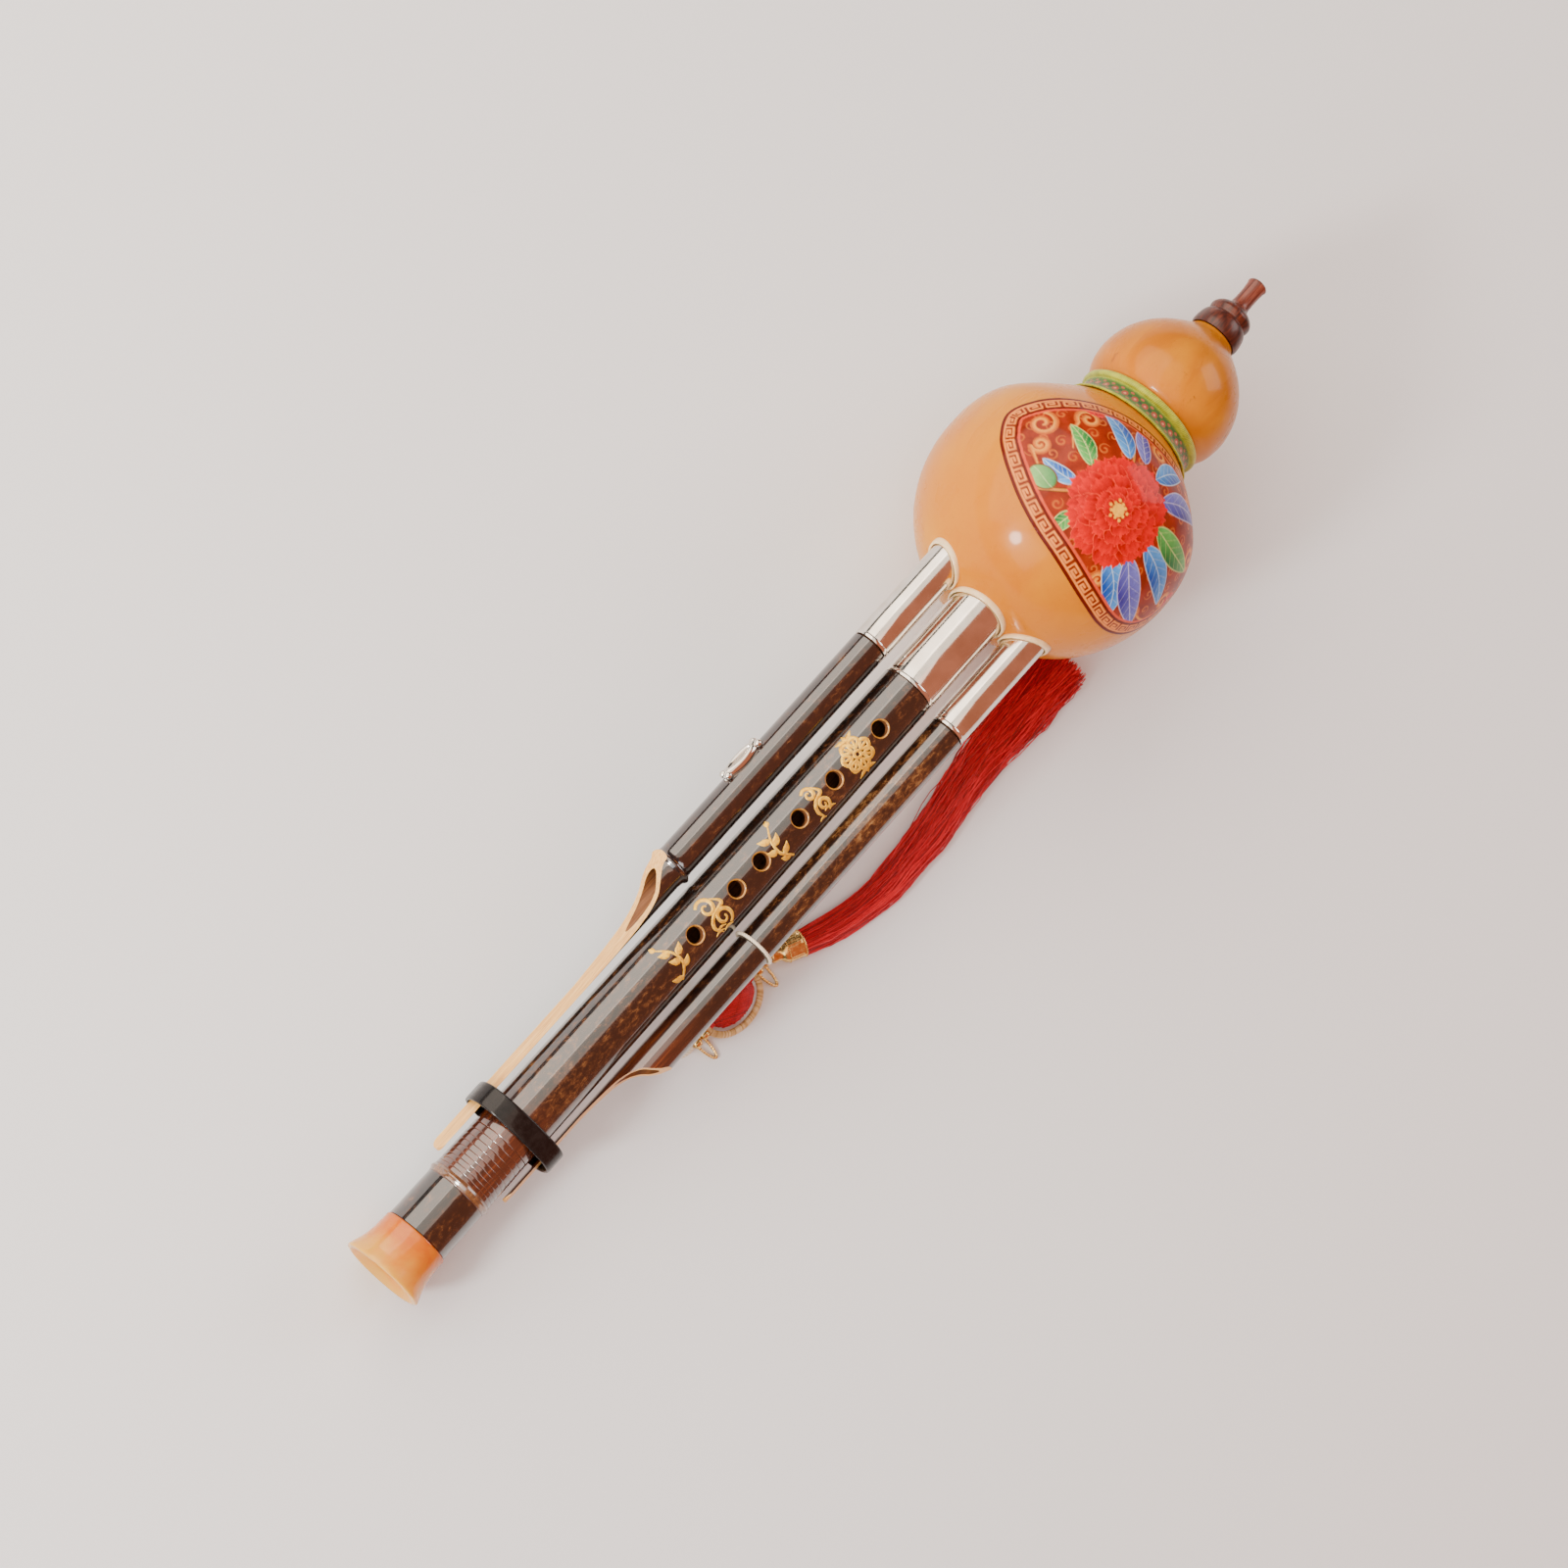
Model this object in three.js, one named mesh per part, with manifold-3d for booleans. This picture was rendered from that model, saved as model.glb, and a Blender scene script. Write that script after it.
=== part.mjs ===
import * as THREE from "three";
import { mergeVertices } from "three/addons/utils/BufferGeometryUtils.js";
import Module from "manifold-3d";

// The instrument is drawn along its main pipe: X runs from the bell foot to the mouthpiece,
// Y points to the left drone and Z out of the finger holes. At the end it is laid on its back.

// Clearances and cuts
const fitGap = 0.3;
const slideGap = 0.3;
const cutOverrun = 4;
const mergeTolerance = 0.0001;

// Bell foot
const bellLength = 15.5;
const bellMouthRadius = 13.9;
const bellMouthInnerRadius = 12.4;
const bellLipRadius = 13.3;
const bellLipAt = 0.6;
const bellFlareRadius = 12.5;
const bellFlareAt = 4.5;
const bellWaistRadius = 11.4;
const bellWaistAt = 10;
const bellNeckRadius = 11.2;
const bellThroatRadius = 7.2;
const bellSocketFloor = 6;
const bellSocketRadius = 9.3;
const bellSides = 28;

// Main pipe
const pipeBoreRadius = 6.2;
const pipeFootTenonRadius = bellSocketRadius - fitGap;
const pipeFootAt = bellSocketFloor + fitGap;
const pipeShoulderAt = bellLength + fitGap;
const pipeFootRadius = 10.8;
const pipeNodeAt = 35;
const pipeNodeRadius = 11.3;
const pipeNodeHalf = 1.4;
const pipeNodeFlankRadius = 10.7;
const pipeRingZoneAt = 60;
const pipeRingZoneRadius = 10.35;
const pipeMiddleAt = 150;
const pipeMiddleRadius = 9.85;
const pipeTopRadius = 9.2;
const pipeTenonLength = 28;
const pipeSides = 28;
// Places of the holes between the bell's mouth and the ferrule
const fingerHoleShares = [0.5701, 0.6493, 0.697, 0.7712, 0.8385, 0.9282];
const thumbHoleShare = 0.9645;
const fingerHoleRadius = 2.7;
const fingerHoleBevelRadius = 3.6;
const fingerHoleBevelDepth = 0.9;
const thumbHoleRadius = 2.4;
const thumbHoleBevelRadius = 3.2;
const holeSides = 16;

// Drones
const droneSpacing = 18.2;
const droneRadius = 6;
const droneBoreRadius = 3.7;
const droneTenonLength = 28;
const droneSides = 24;
const droneNodeRadius = 7.2;
const droneNodeHalf = 2.2;
const tongueThickness = 1.2;
const tongueArcSteps = 8;
const scoopTurnDeg = 17.5;
const leftTongueEndAt = 39.2;
const leftScoopTopAt = 154;
const leftScoopLength = 49;
const rightTongueEndAt = 41.9;
const rightScoopTopAt = 107.5;
const rightScoopLength = 31;
const scoopAlongShares = [0, 0.05, 0.12, 0.185, 0.25, 0.31, 0.375, 0.5, 0.62, 0.76, 1];
const scoopDepthShares = [-0.1, 0.06, 0.19, 0.36, 0.57, 0.69, 0.78, 0.88, 0.925, 0.96, 1];

// Ferrules, each with its own visible start on the pipe that it takes
const mainFerruleRadius = 9.3;
const mainFerruleWall = 0.7;
const droneFerruleRadius = 6.15;
const droneFerruleWall = 0.55;
const mainFerruleAt = 245.2;
const leftFerruleAt = 246.8;
const rightFerruleAt = 244.6;
const ferruleTopAt = 302;
const ferruleSides = 28;
const tenonRoom = 0.6;
const pipeTenonRadius = mainFerruleRadius - mainFerruleWall - tenonRoom;
const droneTenonRadius = droneFerruleRadius - droneFerruleWall - tenonRoom;
const collarWidth = 0.9;
const collarHeight = 1.7;

// Thread lappings that seal the tenons
const lappingStart = 9;
const lappingLength = 13;
const lappingDepth = 0.6;

// Reed heads inside the gourd
const reedHeadAt = 277;
const reedHeadTopAt = 336;
const reedHeadCap = 3;
const mainReedBoreRadius = 5.2;
const mainReedFlat = 6.9;
const droneReedBoreRadius = 3.2;
const droneReedFlat = 4.3;
const mainReedPlateRoom = 1.5;
const droneReedPlateRoom = 3;
const reedFlatEnd = 2.5;
const reedPlateThickness = 0.5;
const mainReedPlateLength = 23;
const mainReedPlateWidth = 8;
const droneReedPlateLength = 20;
const droneReedPlateWidth = 5.2;
const mainTongueLength = 15;
const mainTongueWidth = 3.2;
const droneTongueLength = 12;
const droneTongueWidth = 2;
const reedSlit = 0.35;
const reedWindowMargin = 0.5;
const tongueTipWidthShare = 0.35;

// Binding ring round the pipe and both tongues
const ringAt = 56.6;
const ringLength = 7.1;
const ringTongueRoom = 2.4;
const ringPipeRoom = 0.55;
const ringInnerHalfWidth = droneSpacing - droneRadius + tongueThickness + ringTongueRoom;
const ringInnerHalfHeight = pipeRingZoneRadius + ringPipeRoom;
const ringWall = 1;
const ringChamfer = 0.35;
const ringSquareness = 2.6;
const ringSides = 40;

// Gourd: its own axis leans back and passes behind the pipes
const gourdCentreAt = 322.3;
const gourdCentreBack = 8.9;
const gourdLeanDeg = 3.6;
const bulbRadius = 44.8;
const gourdWall = 3.2;
const gourdSides = 36;
const bulbStepDeg = 10.5;
const bulbLowerSteps = 8;
const waistAt = 42.7;
const waistRadius = 18.4;
const smallBulbAt = 58;
const smallBulbRadius = 25;
const neckTopAt = 83;
const neckTopRadius = 8;
const neckHoleRadius = 6.5;
const neckHoleDepth = 4.6;
// Shares of the way along the gourd and of the step in radius, from each named place to the next
const bulbToWaistShares = [
  [0.21, 0.985], [0.41, 0.875], [0.562, 0.689], [0.691, 0.477], [0.796, 0.288],
  [0.867, 0.152], [0.918, 0.061], [0.96, 0.015], [1, 0],
];
const waistToSmallBulbShares = [
  [0.07, 0.09], [0.17, 0.35], [0.3, 0.62], [0.5, 0.87], [0.73, 0.985], [1, 1],
];
const smallBulbToNeckShares = [
  [0.24, 0.929], [0.44, 0.794], [0.62, 0.6], [0.772, 0.365], [0.888, 0.147], [0.96, 0.029],
];
const bandPointsBelow = 3;
const bandRise = 1.9;
// Shares of the band's rise at the outline's points that it covers, so that it fills out the waist
const bandRiseShares = [0.3, 0.62, 0.9, 1, 0.85, 0.4];

// Mouthpiece
const corkThickness = 0.7;
const corkLength = 8;
const corkInset = 2;
const mouthTenonLength = 10.8;
const mouthTenonRadius = neckHoleRadius - slideGap - corkThickness - fitGap;
const mouthFootAt = neckTopAt + fitGap;
const mouthLength = 25;
const mouthBeadRadius = 8.8;
const mouthBoreWide = 3.2;
const mouthBoreNarrow = 2;
const mouthBoreWideEndAt = 8.7;
const mouthSides = 28;
// Shares of the length and of the bead's radius along the two beads and the stem
const mouthShares = [
  [0, 0.955], [0.052, 1], [0.172, 0.977], [0.26, 0.898], [0.3, 0.795], [0.328, 0.83], [0.392, 0.864],
  [0.456, 0.773], [0.504, 0.602], [0.544, 0.443], [0.588, 0.375], [0.808, 0.347], [0.932, 0.375],
  [0.976, 0.398], [1, 0.352],
];

// Escutcheon round the tone hole of the left drone
const escutcheonAt = 191.2;
const escutcheonTurnDeg = 18;
const escutcheonHalfLength = 7;
const escutcheonHalfWidth = 3.1;
const escutcheonRise = 2.1;
const escutcheonSlotHalfLength = 4.6;
const escutcheonSlotHalfWidth = 1.3;
const escutcheonBallRadius = 1.3;
const escutcheonBallSpread = 1.5;
const escutcheonBallOut = 1.5;
const escutcheonBallSeatShare = 0.7;
const escutcheonBallSides = 12;
const escutcheonArcSteps = 10;
const droneToneHoleRadius = 1.6;

// Tassel: the loop on the right drone and what hangs on it, laid on the surface
const cordRadius = 0.6;
const cordSides = 8;
const loopAt = 152;
const loopSides = 24;
const cordRoute = [
  [-62.1, -18.2, 24.4], [-62.1, -18.3, 19], [-62.9, -18.4, 12.6], [-65.6, -18.5, 6.8],
  [-70.8, -18.7, 2.8], [-78, -19, 1.1], [-86, -19.8, 0.75], [-92.4, -22.4, 0.75],
  [-95.4, -26.2, 0.95], [-94.9, -29.3, 1.9], [-92.3, -30.4, 2.9], [-89.9, -30.5, 3.05],
];
const cordSteps = 40;
const tasselAxisHeight = 3.05;
const tasselY = -30.5;
const beadRadius = 1.7;
const beadSides = 12;
const ornamentX = -70.4;
const ornamentHalfLength = 11.8;
const ornamentHalfWidth = 7.9;
const ornamentTubeRadius = 1.2;
const ornamentTubeSides = 10;
const ornamentSides = 32;
const knotHalfThickness = 3;
const knotGap = 0.35;
const knotSides = 16;
const wireRadius = 0.5;
const wireHalfLength = 1.8;
const wireHalfWidth = 8.2;
const wireSides = 8;
const wireHeight = 0.55;
const capLength = 12;
const capTopRadius = 2.2;
const capShoulderRadius = 2.6;
const capShoulderAt = 3.6;
const capFlareRadius = 4.1;
const capFlareAt = 5.6;
const capFootRadius = 4.4;
const capTurnDeg = -24;
const fringeHalfWidth = 7.5;
const fringeHalfHeight = 2.9;
const fringeStartShare = 0.6;
const fringeEndShare = 1.15;
const fringeSectionSides = 12;
const fringeSteps = 18;
const fringeRoute = [
  [-39.2, -35.7, 3.05], [-28, -40.2, 3.05], [-10, -44.2, 3.05], [15, -44.6, 3.05],
  [45, -42, 3.05], [72, -42.2, 3.05], [96, -43, 3.05],
];

const degree = Math.PI / 180;
const gourdCentre = new THREE.Vector3(gourdCentreAt, 0, -gourdCentreBack);

const looks = {
  gourd: ["#e8a05a", 0.32, 0],
  darkBamboo: ["#3a2418", 0.3, 0],
  paleBamboo: ["#d9b07a", 0.6, 0],
  amber: ["#f0a860", 0.25, 0],
  nickel: ["#dcdcd8", 0.18, 1],
  cream: ["#f6e2c0", 0.4, 0],
  blackRing: ["#2c2626", 0.25, 0],
  rosewood: ["#46180e", 0.35, 0],
  cork: ["#b98a5a", 0.9, 0],
  thread: ["#e9dcc4", 0.8, 0],
  brass: ["#c79a4a", 0.3, 1],
  ribbon: ["#8fa648", 0.6, 0],
  gilt: ["#e2b060", 0.3, 1],
  silk: ["#c4161c", 0.7, 0],
  creamCord: ["#ead9c0", 0.7, 0],
};

const wasm = await Module();
wasm.setup();

function asSolid(geometry) {
  const bare = geometry.clone();
  bare.deleteAttribute("normal");
  bare.deleteAttribute("uv");
  const merged = mergeVertices(bare, mergeTolerance);
  const position = merged.getAttribute("position");
  const source = merged.getIndex().array;
  const corners = [];
  let volume = 0;
  const a = new THREE.Vector3();
  const b = new THREE.Vector3();
  const c = new THREE.Vector3();
  for (let i = 0; i < source.length; i += 3) {
    const [p, q, r] = [source[i], source[i + 1], source[i + 2]];
    if (p === q || q === r || r === p) {
      continue;
    }
    corners.push(p, q, r);
    a.fromBufferAttribute(position, p);
    b.fromBufferAttribute(position, q);
    c.fromBufferAttribute(position, r);
    volume += a.dot(b.cross(c));
  }
  if (volume < 0) {
    for (let i = 0; i < corners.length; i += 3) {
      [corners[i], corners[i + 1]] = [corners[i + 1], corners[i]];
    }
  }
  const mesh = new wasm.Mesh({
    numProp: 3,
    vertProperties: new Float32Array(position.array),
    triVerts: new Uint32Array(corners),
  });
  return new wasm.Manifold(mesh);
}

function asMesh(name, solid, look) {
  const drawn = solid.getMesh();
  const geometry = new THREE.BufferGeometry();
  geometry.setAttribute("position", new THREE.BufferAttribute(new Float32Array(drawn.vertProperties), 3));
  geometry.setIndex(Array.from(drawn.triVerts));
  const [color, roughness, metalness] = looks[look];
  const material = new THREE.MeshStandardMaterial({ color, roughness, metalness });
  material.name = look;
  const mesh = new THREE.Mesh(geometry, material);
  mesh.name = name;
  return mesh;
}

// A turned solid on the X axis. The outline holds pairs of place along X and radius, and one
// facet faces straight back, so that the piece can lie on it.
function turned(outline, sides, closed = false) {
  const points = outline.map(([along, radius]) => new THREE.Vector2(radius, along));
  if (closed) {
    points.push(points[0].clone());
  }
  const geometry = new THREE.LatheGeometry(points, sides, Math.PI / sides);
  geometry.rotateZ(-Math.PI / 2);
  return geometry;
}

function turnedSolid(outline, sides, closed = false) {
  return asSolid(turned(outline, sides, closed));
}

function rod(from, to, radius, sides) {
  return turnedSolid([[from, 0], [from, radius], [to, radius], [to, 0]], sides);
}

function tube(from, to, innerRadius, outerRadius, sides) {
  const outline = [[from, innerRadius], [from, outerRadius], [to, outerRadius], [to, innerRadius]];
  return turnedSolid(outline, sides, true);
}

function rectangle(from, to, halfWidth) {
  return [[from, -halfWidth], [to, -halfWidth], [to, halfWidth], [from, halfWidth]];
}

// An extruded outline in the plane of X and a second direction, centred on the third.
function slab(points, halfDepth, turn) {
  const shape = new THREE.Shape(points.map(([along, across]) => new THREE.Vector2(along, across)));
  const geometry = new THREE.ExtrudeGeometry(shape, { depth: 2 * halfDepth, bevelEnabled: false });
  geometry.translate(0, 0, -halfDepth);
  geometry.rotateX(turn);
  return asSolid(geometry);
}

function sphere(radius, sides) {
  return asSolid(new THREE.SphereGeometry(radius, sides, sides / 2));
}

function placed(solid, matrix) {
  return solid.transform(Array.from(matrix.elements));
}

function moved(solid, x, y, z) {
  return solid.translate([x, y, z]);
}

// Moves each point of an open outline by the given distance, square to its two edges.
function offsetOutline(outline, distance) {
  return outline.map(([along, radius], index) => {
    const before = outline[Math.max(index - 1, 0)];
    const after = outline[Math.min(index + 1, outline.length - 1)];
    const edge = new THREE.Vector2(after[0] - before[0], after[1] - before[1]).normalize();
    return [along - edge.y * distance, radius + edge.x * distance];
  });
}

// The gourd's own frame: X along its leaning axis, origin in the middle of the big bulb.
function gourdMatrix() {
  const matrix = new THREE.Matrix4().makeRotationY(gourdLeanDeg * degree);
  matrix.setPosition(gourdCentre);
  return matrix;
}

function restAngle() {
  const flatShare = Math.cos(Math.PI / gourdSides) * Math.cos(bulbStepDeg * degree / 2);
  const lipDepth = bellMouthRadius * Math.cos(Math.PI / bellSides);
  const run = gourdCentreAt - bellLipAt;
  const rise = lipDepth - gourdCentreBack;
  const reach = Math.hypot(run, rise);
  return Math.asin(bulbRadius * flatShare / reach) - Math.atan2(rise, run);
}

// The lower half of the big bulb, with one row of facets level when the instrument lies down.
function bulbLowerOutline(radius) {
  const touch = gourdLeanDeg * degree - restAngle();
  const outline = [];
  for (let step = bulbLowerSteps; step >= 0; step -= 1) {
    const angle = touch + (0.5 - step) * bulbStepDeg * degree;
    if (angle > -Math.PI / 2) {
      outline.push([radius * Math.sin(angle), radius * Math.cos(angle)]);
    }
  }
  outline.unshift([-radius, 0]);
  return outline;
}

// Each pair of shares gives a point between two named places and their radii.
function betweenPlaces(shares, fromAt, toAt, radiusAtNone, radiusAtAll) {
  return shares.map(([along, across]) => [
    fromAt + along * (toAt - fromAt),
    radiusAtNone + across * (radiusAtAll - radiusAtNone),
  ]);
}

function gourdUpperOutline() {
  return [
    ...betweenPlaces(bulbToWaistShares, 0, waistAt, waistRadius, bulbRadius),
    ...betweenPlaces(waistToSmallBulbShares, waistAt, smallBulbAt, waistRadius, smallBulbRadius),
    ...betweenPlaces(smallBulbToNeckShares, smallBulbAt, neckTopAt, neckTopRadius, smallBulbRadius),
  ];
}

function gourdOuterOutline() {
  return [...bulbLowerOutline(bulbRadius), ...gourdUpperOutline()];
}

function gourdShell(pipeSeats) {
  const outer = gourdOuterOutline();
  const inner = offsetOutline(outer, -gourdWall).slice(1, -2);
  const neckFloorAt = neckTopAt - neckHoleDepth;
  const kept = inner.filter(([along, radius]) => {
    return along < neckFloorAt - gourdWall / 2 && radius > neckHoleRadius;
  });
  const outline = [
    ...outer,
    [neckTopAt, neckTopRadius],
    [neckTopAt, neckHoleRadius],
    [neckFloorAt, neckHoleRadius],
    ...kept.reverse(),
    [gourdWall - bulbRadius, 0],
  ];
  let shell = placed(turnedSolid(outline, gourdSides), gourdMatrix());
  for (const seat of pipeSeats) {
    const from = gourdCentreAt - bulbRadius - cutOverrun;
    const drill = rod(from, gourdCentreAt, seat.radius + fitGap, ferruleSides);
    shell = shell.subtract(moved(drill, 0, seat.y, 0));
  }
  return shell;
}

function bulbBall(radius) {
  const outline = [...bulbLowerOutline(radius), [radius, 0]];
  return placed(turnedSolid(outline, gourdSides), gourdMatrix());
}

function collar(seat) {
  const inner = seat.radius + fitGap;
  const from = gourdCentreAt - bulbRadius - cutOverrun;
  const sleeve = tube(from, gourdCentreAt, inner, inner + collarWidth, ferruleSides);
  const cut = bulbBall(bulbRadius + fitGap);
  const skin = bulbBall(bulbRadius + fitGap + collarHeight);
  return moved(sleeve, 0, seat.y, 0).intersect(skin).subtract(cut);
}

function waistBand() {
  const outer = gourdOuterOutline();
  const waistPoint = bulbLowerSteps + bulbToWaistShares.length + 1;
  const first = waistPoint - bandPointsBelow;
  const inside = offsetOutline(outer, fitGap).slice(first, first + bandRiseShares.length);
  const full = offsetOutline(outer, fitGap + bandRise).slice(first, first + bandRiseShares.length);
  const outside = bandRiseShares.map((share, index) => {
    const [along, radius] = inside[index];
    return [along + share * (full[index][0] - along), radius + share * (full[index][1] - radius)];
  });
  const outline = [...outside, ...inside.reverse()];
  return placed(turnedSolid(outline, gourdSides, true), gourdMatrix());
}

function mouthpiece() {
  const beads = betweenPlaces(mouthShares, mouthFootAt, mouthFootAt + mouthLength, 0, mouthBeadRadius);
  const outline = [
    [mouthFootAt - mouthTenonLength, mouthBoreWide],
    [mouthFootAt - mouthTenonLength, mouthTenonRadius],
    [mouthFootAt, mouthTenonRadius],
    ...beads,
    [mouthFootAt + mouthLength, mouthBoreNarrow],
    [mouthFootAt + mouthBoreWideEndAt, mouthBoreNarrow],
  ];
  return placed(turnedSolid(outline, mouthSides, true), gourdMatrix());
}

function mouthCork() {
  const from = mouthFootAt - mouthTenonLength + corkInset;
  const inner = mouthTenonRadius + fitGap;
  return placed(tube(from, from + corkLength, inner, inner + corkThickness, mouthSides), gourdMatrix());
}

function bellFoot() {
  const outline = [
    [0, bellMouthInnerRadius],
    [0, bellLipRadius],
    [bellLipAt, bellMouthRadius],
    [bellFlareAt, bellFlareRadius],
    [bellWaistAt, bellWaistRadius],
    [bellLength, bellNeckRadius],
    [bellLength, bellSocketRadius],
    [bellSocketFloor, bellSocketRadius],
    [bellSocketFloor, bellThroatRadius],
  ];
  return turnedSolid(outline, bellSides, true);
}

function lappingGroove(shoulderAt, tenonRadius) {
  const from = shoulderAt + lappingStart;
  const floor = tenonRadius - lappingDepth;
  return [
    [from, tenonRadius],
    [from, floor],
    [from + lappingLength + 2 * fitGap, floor],
    [from + lappingLength + 2 * fitGap, tenonRadius],
  ];
}

function lapping(seat) {
  const from = seat.at - fitGap + lappingStart + fitGap;
  const inner = seat.radius - seat.wall - tenonRoom - lappingDepth + fitGap;
  const outer = seat.radius - seat.wall - slideGap;
  return moved(tube(from, from + lappingLength, inner, outer, droneSides), 0, seat.y, 0);
}

function fingerHole(at, side, radius, bevelRadius) {
  const surface = pipeMiddleRadius;
  const bevelFloor = surface - fingerHoleBevelDepth;
  const top = surface + cutOverrun;
  const flare = bevelRadius + (bevelRadius - radius) * (cutOverrun / fingerHoleBevelDepth);
  const outline = [[0, 0], [0, radius], [bevelFloor, radius], [top, flare], [top, 0]];
  const geometry = turned(outline, holeSides);
  geometry.rotateY(-side * Math.PI / 2);
  return moved(asSolid(geometry), at, 0, 0);
}

function mainPipe() {
  const shoulderAt = mainFerruleAt - fitGap;
  const outline = [
    [pipeFootAt, pipeBoreRadius],
    [pipeFootAt, pipeFootTenonRadius],
    [pipeShoulderAt, pipeFootTenonRadius],
    [pipeShoulderAt, pipeFootRadius],
    [pipeNodeAt - pipeNodeHalf, pipeNodeFlankRadius],
    [pipeNodeAt, pipeNodeRadius],
    [pipeNodeAt + pipeNodeHalf, pipeNodeFlankRadius],
    [pipeRingZoneAt, pipeRingZoneRadius],
    [pipeMiddleAt, pipeMiddleRadius],
    [shoulderAt, pipeTopRadius],
    [shoulderAt, pipeTenonRadius],
    ...lappingGroove(shoulderAt, pipeTenonRadius),
    [shoulderAt + pipeTenonLength, pipeTenonRadius],
    [shoulderAt + pipeTenonLength, pipeBoreRadius],
  ];
  let pipe = turnedSolid(outline, pipeSides, true);
  for (const share of fingerHoleShares) {
    pipe = pipe.subtract(fingerHole(share * mainFerruleAt, 1, fingerHoleRadius, fingerHoleBevelRadius));
  }
  const thumbHoleAt = thumbHoleShare * mainFerruleAt;
  return pipe.subtract(fingerHole(thumbHoleAt, -1, thumbHoleRadius, thumbHoleBevelRadius));
}

// The curve runs from the top of the scoop down to the flat of the tongue.
function scoopCutter(seat, side) {
  const high = droneRadius;
  const low = tongueThickness - droneRadius;
  const curve = scoopAlongShares.map((share, index) => {
    return [seat.scoopTopAt - share * seat.scoopLength, high - scoopDepthShares[index] * (high - low)];
  });
  const outside = droneNodeRadius + cutOverrun;
  const points = [
    [seat.scoopTopAt, outside],
    ...curve,
    [seat.tongueEndAt - cutOverrun, low],
    [seat.tongueEndAt - cutOverrun, outside],
  ];
  const cutter = slab(points, outside, 0);
  const lean = new THREE.Matrix4().makeRotationX(scoopTurnDeg * degree);
  if (side > 0) {
    return placed(cutter, lean);
  }
  return placed(cutter, lean).mirror([0, 1, 0]);
}

// Rounds the free end of the tongue, seen square to its flat.
function tongueEnd(endAt, side) {
  const half = Math.sqrt(droneRadius ** 2 - (droneRadius - tongueThickness) ** 2);
  const wide = droneNodeRadius + cutOverrun;
  const points = [];
  for (let step = 0; step <= tongueArcSteps; step += 1) {
    const angle = (step / tongueArcSteps) * Math.PI;
    points.push([endAt + half - half * Math.sin(angle), half * Math.cos(angle)]);
  }
  points.push([endAt + half, -wide], [ferruleTopAt, -wide], [ferruleTopAt, wide], [endAt + half, wide]);
  const plan = slab(points, wide, Math.PI / 2);
  const lean = new THREE.Matrix4().makeRotationX(scoopTurnDeg * degree);
  if (side > 0) {
    return placed(plan, lean);
  }
  return placed(plan, lean).mirror([0, 1, 0]);
}

// Turns what is drawn on the outer side of the drone a little to the front.
function escutcheonMatrix() {
  return new THREE.Matrix4().makeRotationX(escutcheonTurnDeg * degree);
}

function drone(seat, side) {
  const shoulderAt = seat.at - fitGap;
  const node = side > 0
    ? [
      [seat.scoopTopAt - 2 * droneNodeHalf, droneRadius],
      [seat.scoopTopAt - droneNodeHalf, droneNodeRadius],
      [seat.scoopTopAt, droneRadius],
    ]
    : [];
  const outline = [
    [seat.tongueEndAt, droneBoreRadius],
    [seat.tongueEndAt, droneRadius],
    ...node,
    [shoulderAt, droneRadius],
    [shoulderAt, droneTenonRadius],
    ...lappingGroove(shoulderAt, droneTenonRadius),
    [shoulderAt + droneTenonLength, droneTenonRadius],
    [shoulderAt + droneTenonLength, droneBoreRadius],
  ];
  let pipe = turnedSolid(outline, droneSides, true);
  pipe = pipe.subtract(scoopCutter(seat, side));
  pipe = pipe.intersect(tongueEnd(seat.tongueEndAt, side));
  if (side > 0) {
    const drill = rod(0, droneRadius + cutOverrun, droneToneHoleRadius, holeSides);
    const outward = new THREE.Matrix4().makeRotationZ(Math.PI / 2);
    const facing = escutcheonMatrix().multiply(outward);
    pipe = pipe.subtract(moved(placed(drill, facing), escutcheonAt, 0, 0));
  }
  return moved(pipe, 0, seat.y, 0);
}

function ferrule(seat) {
  const sleeve = tube(seat.at, ferruleTopAt, seat.radius - seat.wall, seat.radius, ferruleSides);
  return moved(sleeve, 0, seat.y, 0);
}

// A tube that is closed at the top, with a flat and a window for the reed plate on its front.
function reedHead(seat) {
  const outer = seat.radius - seat.wall - fitGap;
  const outline = [
    [reedHeadAt, seat.reedBore],
    [reedHeadAt, outer],
    [reedHeadTopAt, outer],
    [reedHeadTopAt, 0],
    [reedHeadTopAt - reedHeadCap, 0],
    [reedHeadTopAt - reedHeadCap, seat.reedBore],
  ];
  const body = turnedSolid(outline, droneSides, true);
  const flatEndAt = reedHeadTopAt - reedFlatEnd;
  const flatAt = flatEndAt - seat.reedFlatLength;
  const wide = outer + cutOverrun;
  const flatCut = slab(rectangle(flatAt, flatEndAt, wide), cutOverrun, 0);
  const middleAt = (flatAt + flatEndAt) / 2;
  const halfLength = seat.tongueLength / 2 + reedWindowMargin;
  const halfWidth = seat.tongueWidth / 2 + reedWindowMargin;
  const window = slab(rectangle(middleAt - halfLength, middleAt + halfLength, halfWidth), outer / 2, 0);
  const cut = body.subtract(moved(flatCut, 0, 0, seat.reedFlat + cutOverrun));
  return moved(cut.subtract(moved(window, 0, 0, outer / 2 + seat.reedFlat / 2)), 0, seat.y, 0);
}

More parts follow.
